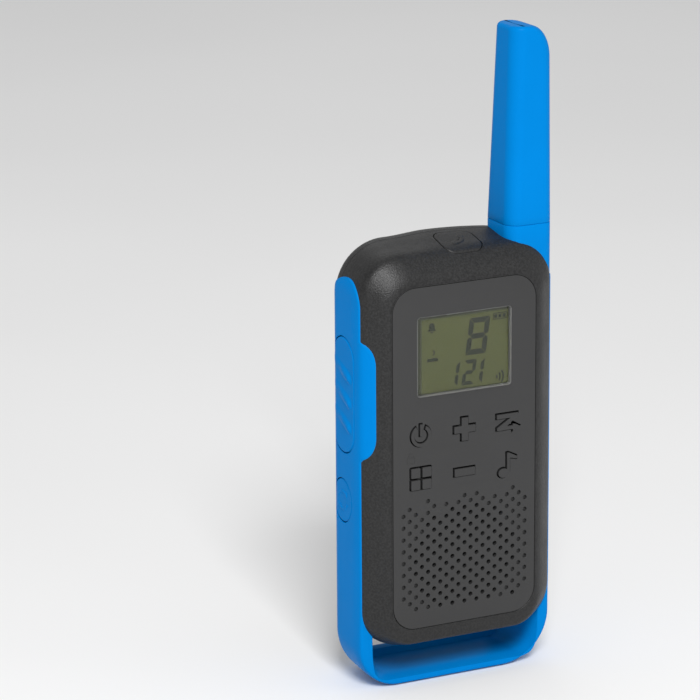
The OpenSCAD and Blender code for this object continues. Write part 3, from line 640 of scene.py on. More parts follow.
# ---------------------------------------------------------------- blue frame

BULGE_DEPTH, BULGE_FLAT, BULGE_END = 2.7, 9.0, 14.9
TIP_FRONT_Z, TIP_BACK_Z, TIP_TOP_Z, TIP_Y = 98.4, 97.4, 104.9, -2.2


def rail_front(z, left):
    """Front edge of the rail, with the shoulder beside the talk bar on the left."""
    z = np.asarray(z, float)
    edge = np.full_like(z, RAIL_FRONT)
    if not left:
        return edge
    away = np.clip((np.abs(z - PTT_Z) - BULGE_FLAT) / (BULGE_END - BULGE_FLAT), 0, 1)
    edge = edge - BULGE_DEPTH * np.sqrt(1 - away ** 2)
    rise = np.clip((z - TIP_FRONT_Z) / (TIP_TOP_Z - TIP_FRONT_Z), 0, 1)
    tip = TIP_Y - (TIP_Y - RAIL_FRONT) * np.sqrt(1 - rise ** 2)
    return np.where(z > TIP_FRONT_Z, tip, edge)


def rail_back(z, left):
    """Back edge of the rail, wider where it runs into the loop."""
    z = np.asarray(z, float)
    blend = np.clip((z - 15) / 20, 0, 1)
    blend = blend * blend * (3 - 2 * blend)
    edge = LOOP_BACK + (RAIL_BACK - LOOP_BACK) * blend
    if left:
        rise = np.clip((z - TIP_BACK_Z) / (TIP_TOP_Z - TIP_BACK_Z), 0, 1)
        tip = TIP_Y + (RAIL_BACK - TIP_Y) * np.sqrt(1 - rise ** 2)
        return np.where(z > TIP_BACK_Z, tip, edge)
    close = np.clip((z - 88) / 12, 0, 1)
    return edge - 2.2 * close * close * (3 - 2 * close)


def loop_inner_size(y):
    """Half width and floor of the loop's hand space at a depth."""
    ys = np.array([-8.9, -7.4, -5.2, 0.0, 6.2, 6.7, 7.3, 8.8, 9.6])
    halves = np.array([23.5, 22.7, 21.9, 21.6, 21.2, 21.1, 20.9, 20.1, 19.7])
    floors = np.array([1.95, 2.3, 2.6, 2.6, 2.62, 3.3, 4.4, 4.5, 4.3])
    return smooth_through(ys, halves, y), smooth_through(ys, floors, y)


def u_line(s, half, floor, left, right):
    """A point on the lower part of a U: s runs 1..2 round the left corner, 2..3 along the floor and
    3..4 round the right corner. `left` and `right` are the corner radii."""
    if s <= 2:
        a = math.radians(180 + 90 * (s - 1))
        return -half + left + left * math.cos(a), floor + left + left * math.sin(a)
    if s <= 3:
        return (-half + left) + (2 * half - left - right) * (s - 2), floor
    a = math.radians(270 + 90 * (s - 3))
    return half - right + right * math.cos(a), floor + right + right * math.sin(a)


def loop_radii(y):
    """Radii of the loop's outer lower corners at a depth."""
    share = min(1.0, max(0.0, (y - RAIL_FRONT) / (LOOP_BACK - RAIL_FRONT)))
    return 10.6 + 3.2 * share, 13.0 + 0.9 * share


FOOT_HALF, FOOT_EDGE = 13.0, 1.6
LOOP_LOW = 0.35
LOOP_INNER_R = 4.5
RAIL_START_Z = 14.0


def rail_outer(y, z, left, drop):
    """A point on the rail's outer face, `drop` inside its full form."""
    sign = -1 if left else 1
    radius = loop_radii(y)[0 if left else 1]
    if z < LOOP_LOW + radius:
        half = float(section(y)[0]) + RAIL_PROUD - drop
        down = LOOP_LOW + radius - z
        return sign * (half - radius + math.sqrt(radius ** 2 - down ** 2)), y, z
    half = float(section(y)[0]) if z < 40 else float(side_x(y, z))
    return sign * (half + RAIL_PROUD - drop), y, z


def rail_inner(y, z, left):
    """A point on the rail's inner face, which is hidden in the casing above the loop."""
    half = float(loop_inner_size(max(y, RAIL_FRONT))[0])
    into = np.clip((z - 19) / 5, 0, 1)
    hidden = min(25.2, float(side_x(y, z)) - 0.6)
    return (-1 if left else 1) * (half + (hidden - half) * into * into * (3 - 2 * into)), y, z


def loop_outer(y, s, drop, edge):
    """A point on the loop's outer face. It sinks to the ground at the foot, away from the edges."""
    half = float(section(y)[0]) + RAIL_PROUD - drop
    r_left, r_right = loop_radii(y)
    x, z = u_line(s, half, LOOP_LOW + 0.8 * drop, r_left - drop, r_right - drop)
    if z < 3:
        fade_x = np.clip((FOOT_HALF + FOOT_EDGE - abs(x)) / FOOT_EDGE, 0, 1)
        fade_y = np.clip((edge - 0.5) / 0.9, 0, 1)
        fade = fade_x * fade_x * (3 - 2 * fade_x) * fade_y * fade_y * (3 - 2 * fade_y)
        z -= LOOP_LOW * fade
    return x, y, z


def loop_inner(y, s):
    """A point on the wall of the loop's hand space."""
    half, low = (float(v) for v in loop_inner_size(max(y, RAIL_FRONT)))
    x, z = u_line(s, half, low, LOOP_INNER_R, LOOP_INNER_R)
    if s < 2 or s > 3:
        lift = s - 1 if s < 2 else 4 - s
        z = z + (RAIL_START_Z - LOOP_INNER_R - low) * (1 - lift) ** 6
    return x, y, z


def frame_loops():
    """Cross-sections of the frame along its U: the left rail, the loop and the right rail."""
    tip = [TIP_TOP_Z - (TIP_TOP_Z - 96) * (1 - math.cos(a)) for a in
           np.linspace(0, math.pi / 2, 22)]
    stations = [("left", z) for z in tip + list(np.linspace(96, RAIL_START_Z, 130)[1:])]
    for low, high, steps, last in ((1, 2, 24, -1), (2, 3, 46, -1), (3, 4, 24, None)):
        stations += [("loop", s) for s in np.linspace(low, high, steps)[:last]]
    stations += [("right", z) for z in np.linspace(RAIL_START_Z, 101, 100)]
    edge_steps = np.array([0, 0.05, 0.14, 0.28, 0.48, 0.8])
    loops = []
    for kind, value in stations:
        left = kind == "left"
        z_guide = value if kind != "loop" else 6.0
        y0, y1 = float(rail_front(z_guide, left)), float(rail_back(z_guide, left))
        width = max(y1 - y0, 0.02)
        edges = edge_steps * min(1.0, width / 2.4)
        inside = np.linspace(edges[-1], width - edges[-1], 20)[1:-1]
        soft = 0.7
        if kind != "loop":
            soft = 0.42 + 0.28 * max(0.0, min(1.0, (24 - value) / 8))
        ring = []
        for d in np.concatenate([edges, inside, width - edges[::-1]]):
            y = y0 + d
            near = min(d, width - d) / soft
            drop = soft * (1 - math.sqrt(max(0.0, 1 - (1 - min(near, 1)) ** 2)))
            if kind == "loop":
                ring.append(loop_outer(y, value, drop, min(y - y0, y1 - y)))
            else:
                ring.append(rail_outer(y, value, left, drop))
        for t in np.linspace(1, 0, 16):
            y = y0 + 0.02 + (width - 0.04) * t
            ring.append(loop_inner(y, value) if kind == "loop" else rail_inner(y, value, left))
        loops.append(ring)
    return loops


def side_frame():
    """The blue frame with its openings for the buttons and the port cover."""
    loops = frame_loops()
    base = loose(*capped(loops))
    cutters = [loose(*join([
        prism(stadium(GAP), "X", -40, -20),
        prism(pair_outline(GAP), "X", -40, -20),
        prism(port_outline(GAP), "X", 20, 40)]))]
    mesh = carve(base, cutters)
    return finish_piece("frame_rails", mesh, "frame_blue", "radio", ["side_frame"], 30.0)


def blade_ring(box, z, inset=0.0, r_left=3.6, r_right=2.6):
    """A section of the antenna: a rounded box, rounder on the left."""
    x0, x1, y0, y1 = box[0] + inset, box[1] - inset, box[2] + inset, box[3] - inset
    rl, rr = max(r_left - inset, 0.2), max(r_right - inset, 0.2)
    points = arc(x1 - rr, y0 + rr, rr, -90, 0, 12) + arc(x1 - rr, y1 - rr, rr, 0, 90, 12)
    points += arc(x0 + rl, y1 - rl, rl, 90, 180, 16) + arc(x0 + rl, y0 + rl, rl, 180, 270, 16)
    return [(x, y, z) for x, y in points]


def antenna_foot():
    """The straight root that grows out of the frame, up to the joint line."""
    loops = [blade_ring(ROOT_BOX, z) for z in (95.0, 100.0, 105.0, 110.0, JOINT_Z - 0.16)]
    loops += [blade_ring(ROOT_BOX, JOINT_Z - 0.05, 0.04), blade_ring(ROOT_BOX, JOINT_Z, 0.16)]
    vertices, faces = capped(loops)
    return add("antenna_foot", vertices, faces, "frame_blue", sharp=40)


def antenna():
    """The tapered blade: straight sides, a large radius on the outer top corner."""
    low, high = np.array(ROOT_BOX, float), np.array(TIP_BOX, float)
    loops = [blade_ring(low, JOINT_Z + 0.02, 0.16), blade_ring(low, JOINT_Z + 0.12, 0.04)]
    body_top = TIP_Z - 8.0
    for t in np.linspace(0, 1, 24):
        z = JOINT_Z + 0.2 + (body_top - JOINT_Z - 0.2) * t
        share = (z - JOINT_Z) / (TIP_Z - JOINT_Z)
        loops.append(blade_ring(low + (high - low) * share, z))
    for a in np.linspace(4, 90, 22):
        rise = math.sin(math.radians(a))
        z = body_top + 8.0 * rise
        share = (z - JOINT_Z) / (TIP_Z - JOINT_Z)
        box = low + (high - low) * share
        near = max(0.0, (rise - 0.86) / 0.14)
        soft = 1.0 - math.sqrt(max(0.0, 1 - near ** 2))
        box = box + np.array([1.1 * soft, -5.6 * (1 - math.cos(math.radians(a))) - 0.5 * soft,
                              1.0 * soft, -1.0 * soft])
        loops.append(blade_ring(box, z - 0.02 * (a >= 90), 0.0, 3.6 - 1.2 * soft, 2.6 - 0.8 * soft))
    last = np.array(loops[-1])
    middle = last.mean(axis=0)
    for share in (0.96, 0.9, 0.6, 0.3):
        ring = middle + (last - middle) * [share, share, 1]
        loops.append([tuple(p) for p in ring])
    vertices, faces = capped(loops)
    return add("antenna_blade", vertices, faces, "frame_blue", replaces=["antenna_sheath"], sharp=40)


# ---------------------------------------------------------------- buttons

def crowned(outline, spine, place, proud, skirt, edge, pitch, relief=None):
    """A button cap over a curved surface: rings run from the outline in to its spine.

    `spine` gives the nearest point of the button's middle line, `place` puts a flat point and a
    height into space, and `relief` adds height at a flat point."""
    outline = np.array(outline, float)
    middle = np.array([spine(p) for p in outline])
    reach = np.linalg.norm(outline - middle, axis=1).max()
    inner_steps = max(3, int(round((reach - edge) / pitch)))
    shares = list(edge / reach * (1 - np.cos(np.linspace(0, math.pi / 2, 6))))
    shares += list(np.linspace(edge / reach, 0.985, inner_steps)[1:])
    loops = []
    for drop in (skirt, 0.5 * skirt):
        loops.append([place(p, -drop) for p in outline])
    for share in shares:
        d = share * reach
        drop = edge * (1 - math.sqrt(max(0.0, 1 - (1 - min(d / edge, 1)) ** 2)))
        flat = outline + (middle - outline) * share
        lift = relief(flat) if relief is not None else np.zeros(len(flat))
        loops.append([place(p, proud - drop + h) for p, h in zip(flat, lift)])
    return capped(loops)


def left_side(point, height):
    y, z = point
    return (-(float(side_x(y, z)) + height), y, z)


def right_side(point, height):
    y, z = point
    return (float(side_x(y, z)) + height, y, z)


def on_top(point, height):
    x, y = point
    return (x, y, float(top_z(x, y)) + height)


def lens(width, length, proud, edge, relief, place, inside, across=64, along=170):
    """A cap with round ends, lofted along its length: `relief` shapes the face, `inside` is its back."""
    radius, limit = width / 2, (length - width) / 2
    loops = []
    for t in (1 - np.cos(np.linspace(0, math.pi, along))) / 2:
        v = (t - 0.5) * length * 0.99996
        end = max(0.0, abs(v) - limit)
        half = math.sqrt(max(1e-9, radius * radius - end * end))
        us = half * np.sin(np.linspace(-math.pi / 2, math.pi / 2, across))
        depth = radius - np.hypot(us, end)
        drop = edge * (1 - np.sqrt(np.clip(1 - (1 - np.minimum(depth / edge, 1)) ** 2, 0, 1)))
        lift = relief(us, np.full(across, v)) * np.minimum(depth / (1.2 * edge), 1)
        face = [place((u, v), proud - d + h) for u, d, h in zip(us, drop, lift)]
        back = [inside((u, v)) for u in us[::-9]]
        loops.append(face + back)
    return capped(loops)


def grip_relief(u, v):
    """Three grips, each a ramp that rises towards its rounded front end, over a shallow dish."""
    lift = -0.16 * (1 - (v / (PTT_L / 2)) ** 2) * np.ones_like(u)
    for v0 in (5.0, -1.3, -7.6):
        centre = v0 + 0.42 * (u + 2.6)
        ahead = np.maximum(-2.7 - u, 0)
        d = np.hypot(v - centre, ahead * 1.1)
        rise = 0.2 + 0.8 * soft_step(-u, -3.8, 2.9)
        lift = lift + 0.55 * rise * (1 - soft_step(d, 0.2, 1.9))
    return lift


def ptt_button():
    """The talk bar with the stem behind it."""
    def place(p, height):
        return left_side((p[0] + PTT_Y, p[1] + PTT_Z), height)

    def inside(p):
        return (-25.45, p[0] + PTT_Y, p[1] + PTT_Z)

    cap = lens(PTT_W - GAP, PTT_L - GAP, 0.42, 0.5, grip_relief, place, inside)
    stem = block(-26.2, -24.1, STEM_Y - 1.8, STEM_Y + 1.8, PTT_Z - 7.4, PTT_Z + 7.4)
    nub = block(-24.2, -23.0, STEM_Y - 1, STEM_Y + 1, PTT_Z - 1.6, PTT_Z + 1.6)
    return add("talk_bar", *join([cap, stem, nub]), "frame_blue", "ptt_button", ["ptt_button"])


def resample(points, n):
    """The same closed outline with n evenly spaced points."""
    loop = np.array(points + [points[0]], float)
    step = np.linalg.norm(np.diff(loop, axis=0), axis=1)
    along = np.concatenate([[0], np.cumsum(step)])
    where = np.linspace(0, along[-1], n, endpoint=False)
    return [(float(np.interp(s, along, loop[:, 0])), float(np.interp(s, along, loop[:, 1])))
            for s in where]


def arrow_relief(flat):
    """Two curved arrows that chase each other round a circle."""
    u, v = flat[:, 0] - PAIR_Y, flat[:, 1] - PAIR_Z
    r, a = np.hypot(u, v), np.degrees(np.arctan2(v, u)) % 360
    lift = np.zeros(len(flat))
    for start in (20, 200):
        turn = (a - start) % 360
        band = (1 - soft_step(np.abs(r - 2.3), 0.22, 0.42)) * (turn < 105)
        head = np.clip((135 - turn) / 30, 0, 1)
        point = (1 - soft_step(np.abs(r - 2.3), 0.8 * head, 0.8 * head + 0.15)) * (
            (turn >= 105) & (turn < 135))
        lift = np.maximum(lift, 0.14 * np.maximum(band, point))
    return lift


def pairing_button():
    """The oval button under the talk bar."""
    outline = resample(pair_outline(-GAP * 0.4), 180)
    cap = crowned(outline, lambda p: (PAIR_Y, PAIR_Z), left_side, 0.22, 0.9, 0.35, 0.16,
                  arrow_relief)
    stem = prism(ellipse(STEM_Y, PAIR_Z, 3.2, 3.2, 32), "X", -26.1, -22.8)
    return add("pairing_cap", *join([cap, stem]), "frame_blue", "pairing_button",
               ["pairing_button"])


def handset_relief(flat):
    """A telephone handset: a curved grip with two rounded ends."""
    u, v = flat[:, 0] - CALL_X, flat[:, 1] - (CALL_FRONT + CALL_BACK) / 2
    u, v = (u + v) * 0.707, (v - u) * 0.707
    r, a = np.hypot(u, v - 1.6), np.degrees(np.arctan2(v - 1.6, u))
    grip = (1 - soft_step(np.abs(r - 2.5), 0.32, 0.6)) * (a < -28) * (a > -152)
    ends = np.zeros(len(flat))
    for side in (-1, 1):
        d = np.hypot((u - side * 2.05) / 0.95, (v - 0.15) / 0.8)
        ends = np.maximum(ends, 1 - soft_step(d, 0.75, 1.1))
    return 0.16 * np.maximum(grip, ends)


def call_button():
    """The button on the top, flush with the casing's slope."""
    y_mid = (CALL_FRONT + CALL_BACK) / 2
    reach_x = CALL_W / 2 - (CALL_BACK - CALL_FRONT) / 2

    def spine(p):
        return (min(max(p[0], CALL_X - reach_x), CALL_X + reach_x), y_mid)

    outline = resample(call_outline(-GAP * 0.3), 220)
    cap = crowned(outline, spine, on_top, 0.10, 1.3, 0.3, 0.16, handset_relief)
    stem = prism(ellipse(CALL_X, -2.8, 3.0, 3.0, 32), "Z", 103.7, 111.0)
    return add("call_cap", *join([cap, stem]), "casing_black", "call_button", ["call_button"])


def port_cover():
    """The rubber flap over the sockets, with a tab to pull it by."""
    outline = resample(port_outline(-GAP * 0.3), 160)
    limit = PORT_H / 2 - PORT_W / 2

    def spine(p):
        return (PORT_Y, min(max(p[1], PORT_Z - limit), PORT_Z + limit))

    def pull_tab(flat):
        return 0.12 * (1 - soft_step(np.abs(flat[:, 1] - (PORT_Z - 8.2)), 0.5, 0.9)) * (
            1 - soft_step(np.abs(flat[:, 0] - PORT_Y), 2.4, 3.0))

    cap = crowned(outline, spine, right_side, 0.18, 1.5, 0.3, 0.35, pull_tab)
    return add("port_flap", *cap, "blue_rubber", "port_cover", ["port_cover"])


# ---------------------------------------------------------------- front panel

def key_icons():
    """Outlines of the six key symbols, each about its own middle, with their corner radii."""
    ring = arc(0, -0.1, 2.85, 118, 422, 48) + arc(0, -0.1, 1.85, 418, 122, 40)
    stick = [(-0.4, -0.3), (0.4, -0.3), (0.4, 2.95), (-0.4, 2.95)]
    a, b = 0.95, 3.02
    plus = [(-a, -b), (a, -b), (a, -a), (b, -a), (b, a), (a, a), (a, b), (-a, b), (-a, a), (-b, a),
            (-b, -a), (-a, -a)]
    scan = [(-3.2, 2.35), (2.95, 2.35), (2.95, 1.9), (-0.15, -0.85), (1.3, -0.85), (1.3, -0.05),
            (3.45, -1.3), (1.3, -2.55), (1.3, -1.9), (-3.15, -1.9), (-3.15, -1.1), (0.65, 1.1),
            (-3.2, 1.1)]
    squares = [[(x - 1.3, z - 1.3), (x + 1.3, z - 1.3), (x + 1.3, z + 1.3), (x - 1.3, z + 1.3)]
               for x in (-1.55, 1.55) for z in (-1.55, 1.55)]
    minus = [(-2.9, -1.05), (2.9, -1.05), (2.9, 1.05), (-2.9, 1.05)]
    head = [(-1.2 + 1.5 * math.cos(t), -1.95 + 1.25 * math.sin(t)) for t in
            np.linspace(math.radians(52), math.radians(352), 30)]
    note = [(-0.28, 3.2), *head, (0.62, -1.9), (0.62, 1.75), (2.6, 1.25), (2.65, 2.05), (0.3, 3.25)]
    return {"power": [(ring, 0.0), (stick, 0.2)], "plus": [(plus, 0.2)], "scan": [(scan, 0.15)],
            "menu": [(square, 0.2) for square in squares], "minus": [(minus, 0.2)],
            "note": [(note, 0.0)]}


def grown(loop, by, radius):
    """An outline moved out by `by` with its corners kept, then softened."""
    points = np.array(loop, float)
    after = np.roll(points, -1, axis=0) - points
    after = after / np.linalg.norm(after, axis=1, keepdims=True)
    before = np.roll(after, 1, axis=0)
    area = np.sum(points[:, 0] * np.roll(points[:, 1], -1) - np.roll(points[:, 0], -1) * points[:, 1])
    n1, n2 = (np.sign(area) * np.stack([d[:, 1], -d[:, 0]], axis=1) for d in (before, after))
    mitre = (n1 + n2) / np.maximum(1 + np.sum(n1 * n2, axis=1, keepdims=True), 0.1)
    moved_out = [tuple(p) for p in points + by * mitre]
    return softened(moved_out, radius) if radius else moved_out


KEY_PLACES = {"power": (-KEY_X, KEY_HIGH_Z), "plus": (0.0, KEY_HIGH_Z), "scan": (KEY_X, KEY_HIGH_Z),
              "menu": (-KEY_X, KEY_LOW_Z), "minus": (0.0, KEY_LOW_Z), "note": (KEY_X, KEY_LOW_Z)}
KEY_RECESS = 0.03
KEY_SHIFT, HOLE_SHIFT = (0.12, -0.1), (-0.15, 0.1)


def moved(loops, x, z):
    return [[(px + x, pz + z) for px, pz in loop] for loop in loops]


def key_holes(name, loops):
    """The panel's holes round one key: wider than the key, most of all above it and on its left."""
    x, z = KEY_PLACES[name]
    x, z = x + HOLE_SHIFT[0], z + HOLE_SHIFT[1]
    if name == "menu":
        return [rounded_rect(x, z, 6.2, 6.2, 0.5, 6)]
    room = 0.18 if name == "power" else 0.25
    return moved([grown(loop, room, radius) for loop, radius in loops], x, z)


def grille_places():
    """Centre of each speaker hole, and whether it goes right through."""
    columns = len(GRILLE_TOPS)
    for i, top in enumerate(GRILLE_TOPS):
        for j in range(-2, top + 1):
            at_corner = i in (0, columns - 1) and j < 0
            if (i + j) % 2 or at_corner:
                continue
            x, z = (i - (columns - 1) / 2) * GRILLE_DX, GRILLE_Z + j * GRILLE_DZ
            over_cone = math.hypot(x, z - SPEAKER_Z) < 14.3
            over_mic = math.hypot(x - MIC_X, z - MIC_Z) < 0.5
            yield x, z, over_cone or over_mic


def lock_outline():
    """A small padlock, drawn as a thin raised line."""
    body = softened([(-1.15, -1.5), (1.15, -1.5), (1.15, 0.25), (-1.15, 0.25)], 0.3)
    inner = softened([(-0.95, -1.3), (0.95, -1.3), (0.95, 0.05), (-0.95, 0.05)], 0.2)
    shackle = arc(0, 0.45, 0.85, 0, 180, 14) + arc(0, 0.45, 0.62, 180, 0, 14)
    return moved([body, inner, shackle], -14.8, 60.4)


def front_panel():
    """The face with its openings: a thin front layer, and a backing with room for the keys."""
    display = rounded_rect(0, DISPLAY_Z, DISPLAY_W, DISPLAY_H, 0.9, 6)
    icons = [loop for name, loops in key_icons().items() for loop in key_holes(name, loops)]
    holes = list(grille_places())
    circles = [ellipse(x, z, GRILLE_D, GRILLE_D, 20) for x, z, _ in holes]
    pierced = [ellipse(x, z, GRILLE_D * 0.94, GRILLE_D * 0.94, 20) for x, z, through in holes
               if through]
    seam_y = PANEL_FACE_Y + 0.62
    outline = rounded_rect(0, (PANEL_LOW + PANEL_HIGH) / 2, PANEL_W, PANEL_HIGH - PANEL_LOW,
                           PANEL_R, 16)
    windows = [rounded_rect(x, z, 7.6, 7.4, 1.2, 5) for x, z in KEY_PLACES.values()]
    plates("face_panel", [
        ([outline, display, *icons, *circles], PANEL_FACE_Y, seam_y, 0.05),
        ([outline, display, *windows, *pierced], seam_y - 0.001, PANEL_BACK_Y, 0.0),
    ], "panel_grey", replaces=["front_panel"])
    plates("panel_lock_mark", [(lock_outline(), PANEL_FACE_Y - 0.05, PANEL_FACE_Y + 0.05, 0.02)],
           "panel_grey")


def keys():
    """Each key is its symbol, a pad behind the panel and a nub over its switch."""
    for name, loops in key_icons().items():
        x, z = KEY_PLACES[name]
        pad = rounded_rect(x, z, 7.2, 7.0, 1.2, 5)
        nub = ellipse(x, z, 2.4, 2.4, 24)
        plates(f"key_{name}_cap", [
            (moved([grown(loop, -0.05, radius) for loop, radius in loops], x + KEY_SHIFT[0],
                   z + KEY_SHIFT[1]),
             PANEL_FACE_Y + KEY_RECESS, -11.9, 0.06),
            ([pad], -11.95, -11.1, 0.08),
            ([nub], -11.11, -10.55, 0.05),
        ], "key_rubber", f"key_{name}", [f"key_{name}"])


def shrunk(loop, inset):
    """The outline drawn in by a small inset, along its own normals."""
    points = np.array(loop, float)
    ahead = np.roll(points, -1, axis=0) - np.roll(points, 1, axis=0)
    length = np.maximum(np.linalg.norm(ahead, axis=1, keepdims=True), 1e-9)
    normal = np.stack([ahead[:, 1], -ahead[:, 0]], axis=1) / length
    area = 0.5 * np.sum(points[:, 0] * np.roll(points[:, 1], -1)
                        - np.roll(points[:, 0], -1) * points[:, 1])
    return [tuple(p) for p in points - np.sign(area) * inset * normal]


# ---------------------------------------------------------------- display

LCD_Y = -11.8
SLANT = math.tan(math.radians(8.1))
DIGIT_SEGMENTS = {"1": "bc", "2": "abged", "8": "abcdefg"}


def digit_loops(digit, x, z, w, h, t):
    """Seven-segment strokes with mitred ends, leaning to the right. x, z is the lower left."""
    g = t * 0.10
    m = h / 2
    shapes = {
        "a": [(g, h), (w - g, h), (w - t, h - t), (t, h - t)],
        "d": [(g, 0), (w - g, 0), (w - t, t), (t, t)],
        "g": [(t * 0.6, m), (t, m + t / 2), (w - t, m + t / 2), (w - t * 0.6, m), (w - t, m - t / 2),
              (t, m - t / 2)],
        "b": [(w, h - g), (w - t, h - t - g), (w - t, m + t / 2 + g), (w - t / 2, m + g), (w, m + t / 2)],
        "c": [(w, g), (w - t, t + g), (w - t, m - t / 2 - g), (w - t / 2, m - g), (w, m - t / 2)],
        "f": [(0, h - g), (t, h - t - g), (t, m + t / 2 + g), (t / 2, m + g), (0, m + t / 2)],
        "e": [(0, g), (t, t + g), (t, m - t / 2 - g), (t / 2, m - g), (0, m - t / 2)],
    }
    return [[(x + px + pz * SLANT, z + pz) for px, pz in shapes[s]]
            for s in DIGIT_SEGMENTS[digit]]


def display_marks():
    """Channel, code and the small symbols round them."""
    loops = digit_loops("8", 0.1, 84.15, 5.7, 9.3, 1.34)
    for digit, x in (("1", -5.5), ("2", -0.95), ("1", 1.35)):
        loops += digit_loops(digit, x, 76.65, 3.4, 6.3, 0.95)
    bell = [(-10.35, 91.5), (-7.9, 91.5), (-8.35, 92.15)] + arc(-9.1, 92.8, 0.75, 0, 180, 12) + [
        (-9.85, 92.15)]
    clapper = arc(-9.1, 91.38, 0.42, 180, 360, 8)
    bar = [(-10.5, 83.8), (-7.3, 83.8), (-7.5, 84.5), (-8.6, 84.75), (-9.6, 84.5), (-10.3, 84.7)]
    wave = arc(-9.0, 86.0, 0.75, -70, 80, 12) + arc(-9.0, 86.0, 0.4, 80, -70, 12)
    x0, x1, z0, z1 = 7.75, 12.1, 92.25, 93.95
    case = softened([(x0, z0), (x1 - 0.5, z0), (x1, (z0 + z1) / 2), (x1 - 0.4, z1), (x0 + 0.2, z1)],
                    0.3)
    case_in = shrunk(case, 0.2)
    bars = [[(x, 92.65), (x + 0.85, 92.65), (x + 0.95, 93.55), (x + 0.1, 93.55)]
            for x in (8.15, 9.3, 10.45)]
    dots = [arc(8.3, 77.6, r, -38, 38, 10) + arc(8.3, 77.6, r - 0.45, 38, -38, 10)
            for r in (0.9, 1.8, 2.7)]
    return moved(loops + [bell, clapper, bar, wave, case, case_in, *bars, *dots], 0.7, 0.0)


def display():
    """The segments, a painted shadow round the edge of the glass, and the rim round it, coloured light
    grey as a painted highlight.
    """
    plates("display_marks", [(display_marks(), LCD_Y - 0.03, LCD_Y + 0.01, 0.0)], "lcd_glass",
           material=SEGMENT_BLACK)
    outer = rounded_rect(0, DISPLAY_Z, DISPLAY_W - 0.06, DISPLAY_H - 0.06, 0.87, 8)
    lip = rounded_rect(0, DISPLAY_Z, DISPLAY_W - 0.22, DISPLAY_H - 0.22, 0.8, 8)
    inner = rounded_rect(0, DISPLAY_Z, DISPLAY_W - 0.66, DISPLAY_H - 0.66, 0.6, 8)
    loops = [[(x, -13.30, z) for x, z in outer], [(x, -13.34, z) for x, z in lip],
             [(x, -12.62, z) for x, z in inner], [(x, -12.05, z) for x, z in inner],
             [(x, -12.05, z) for x, z in outer]]
    parts = []
    # Painted shadow: two flat bands round the display, widest on the left and at the top, darker at the
    # edge and mid tone further in, paint the shade of the window's walls on the glass.
    for step, (left, right, top, low) in enumerate([(11.6, 13.0, 0.9, 0.35), (11.2, 12.8, 1.2, 0.5)]):
        edge = rounded_rect(0, DISPLAY_Z, DISPLAY_W + 1.4, DISPLAY_H + 1.4, 1.0, 8)
        z0, z1 = DISPLAY_Z - DISPLAY_H / 2 + low, DISPLAY_Z + DISPLAY_H / 2 - top
        gap = rounded_rect((right - left) / 2, (z0 + z1) / 2, right + left, z1 - z0, 0.5, 8)
        y = LCD_Y - 0.14 + 0.04 * step
        parts.append(([edge, gap], y, y + 0.03, 0.0))
    plates("display_painted_shadow", parts[:1], "lcd_glass", material=PAINTED_SHADOW_DARK)
    plates("display_painted_shade", parts[1:], "lcd_glass", material=PAINTED_SHADOW_SOFT)
    # The rim is opaque light grey, a painted highlight on the clear window's bevelled edge.
    add("window_rim", *bridge(loops), "lens_clear", material=RIM_PAINTED_HIGHLIGHT)


# ---------------------------------------------------------------- belt clip

def belt_clip():
    """The sprung arm: a bowed strip, ribbed on its thumb end, with a hooked tip and two ears."""
    width, top, low, back, t = 15.0, 104.0, 66.0, 20.4, 1.8
    pin_y, pin_z = 16.4, 96.0
    zs = np.concatenate([np.linspace(top, 78, 40), np.linspace(77, low, 24)])
    loops = []
    for z in zs:
        bow = soft_step(78 - z, 0, 12)
        outer_y = back - 2.7 * bow ** 1.2
        inner_y = outer_y - t - 1.6 * soft_step(70.5 - z, 0, 3.5)
        half = width / 2 - 1.1 * soft_step(71 - z, 0, 5) ** 2
        edge = min(top - z, z - low)
        shrink = 0.7 * (1 - math.sqrt(max(0.0, 1 - (1 - min(edge / 0.9, 1)) ** 2)))
        rib = 0.18 * (math.cos((z - 99) * 2 * math.pi / 1.2) > 0) * (97 < z < 103)
        outer_y = outer_y - rib - shrink * 0.6
        inner_y = inner_y + shrink * 0.6
        y_mid, h = (outer_y + inner_y) / 2, (outer_y - inner_y)
        ring = rounded_rect(0, y_mid, 2 * (half - shrink), h, min(0.55, h / 2.2), 5)
        loops.append([(x, y, z) for x, y in ring])
    arm = capped(loops)
    ears = []
    for x in (-3.2, 2.2):
        lobe = arc(pin_y, pin_z, 2.0, 90, 270, 20) + [(18.8, pin_z - 3.0), (18.8, pin_z + 3.0)]
        ears.append(prism(lobe, "X", x, x + 1.0))
    base = loose(*arm)
    ear = loose(*join(ears))
    solid = held(carve(base, [ear], "UNION"))
    bore = loose(*prism(ellipse(pin_y, pin_z, 2.08, 2.08, 32), "X", -10, 10))
    mesh = carve(solid, [bore])
    return finish_piece("clip_arm", mesh, "casing_black", "belt_clip", ["belt_clip"], 30.0)


# ---------------------------------------------------------------- build

front_housing()
rear_housing()
battery_door()
side_frame()
antenna_foot()
antenna()
ptt_button()
pairing_button()
call_button()
port_cover()
front_panel()
keys()
display()
belt_clip()

slots = {part["node"]: part["material_slot"] for part in frame["record"]["subparts"]}
for name, node in frame["nodes"].items():
    node.data.materials.clear()
    node.data.materials.append(MATERIALS[slots[name]])
    node.data.shade_smooth()
    node.data.set_sharp_from_angle(angle=math.radians(30))


# ---------------------------------------------------------------- stage, light, camera

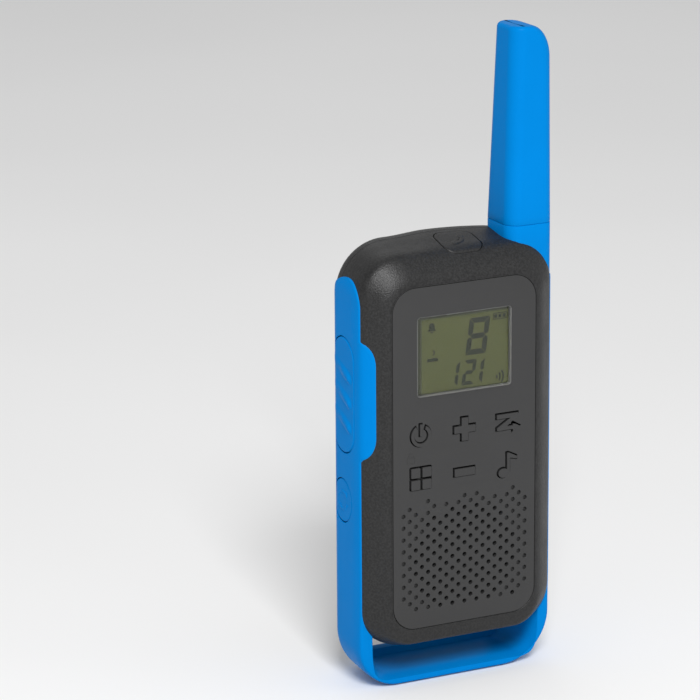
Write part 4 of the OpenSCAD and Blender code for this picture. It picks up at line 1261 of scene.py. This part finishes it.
def stage():
    """The pale floor."""
    size = 4.0
    mesh = bpy.data.meshes.new("floor")
    mesh.from_pydata([(-size, -size, 0), (size, -size, 0), (size, size, 0), (-size, size, 0)], [],
                     [(0, 1, 2, 3)])
    floor = bpy.data.objects.new("floor", mesh)
    bpy.context.scene.collection.objects.link(floor)
    material, nodes, link, shader = node_tools("floor_pale")
    uneven(nodes, link, shader.inputs["Base Color"], 3.0, 2.0, [(0.3, 0.86), (0.7, 0.9)])
    shader.inputs["Roughness"].default_value = 0.9
    shader.inputs["Specular IOR Level"].default_value = 0.1
    mesh.materials.append(material)


def light(name, place, target, size, power):
    """A soft rectangular lamp that faces its target."""
    lamp = bpy.data.lights.new(name, "AREA")
    lamp.shape = "RECTANGLE"
    lamp.size, lamp.size_y = size
    lamp.energy = power
    holder = bpy.data.objects.new(name, lamp)
    bpy.context.scene.collection.objects.link(holder)
    holder.location = Vector(place)
    holder.rotation_euler = (Vector(target) - Vector(place)).to_track_quat("-Z", "Y").to_euler()


def camera():
    """A long lens, seen from the front left and a little above, and turned to the left."""
    azimuth, elevation = math.radians(-28.0), math.radians(15.6)
    target = Vector((0.8, 0.0, 82.1)) * MM
    back = Vector((math.sin(azimuth) * math.cos(elevation), -math.cos(azimuth) * math.cos(elevation),
                   math.sin(elevation)))
    data = bpy.data.cameras.new("camera")
    data.sensor_width = 36.0
    data.lens = 185.143
    data.clip_start, data.clip_end = 0.05, 20.0
    holder = bpy.data.objects.new("camera", data)
    bpy.context.scene.collection.objects.link(holder)
    look = (-back).to_track_quat("-Z", "Y").to_matrix()
    pan = Matrix.Rotation(math.radians(1.4639), 3, "Y")
    tilt = Matrix.Rotation(math.radians(0.0318), 3, "X")
    holder.matrix_world = Matrix.Translation(target + back * 892.41 * MM) @ (
        look @ pan @ tilt).to_4x4()
    bpy.context.scene.camera = holder


stage()
camera()
middle = (0.0, 0.0, 0.08)
light("key", (-0.35, -0.98, 0.95), middle, (0.45, 0.45), 16.0)
light("fill", (1.0, -0.7, 0.5), middle, (0.5, 0.5), 0.8)
light("rim", (0.2, 0.8, 0.9), middle, (0.5, 0.4), 0.6)
world = bpy.data.worlds.new("world")
bpy.context.scene.world = world
world.use_nodes = True
world.node_tree.nodes["Background"].inputs["Color"].default_value = (1.0, 1.0, 1.0, 1.0)
world.node_tree.nodes["Background"].inputs["Strength"].default_value = 0.5
bpy.context.scene.view_settings.view_transform = "Standard"
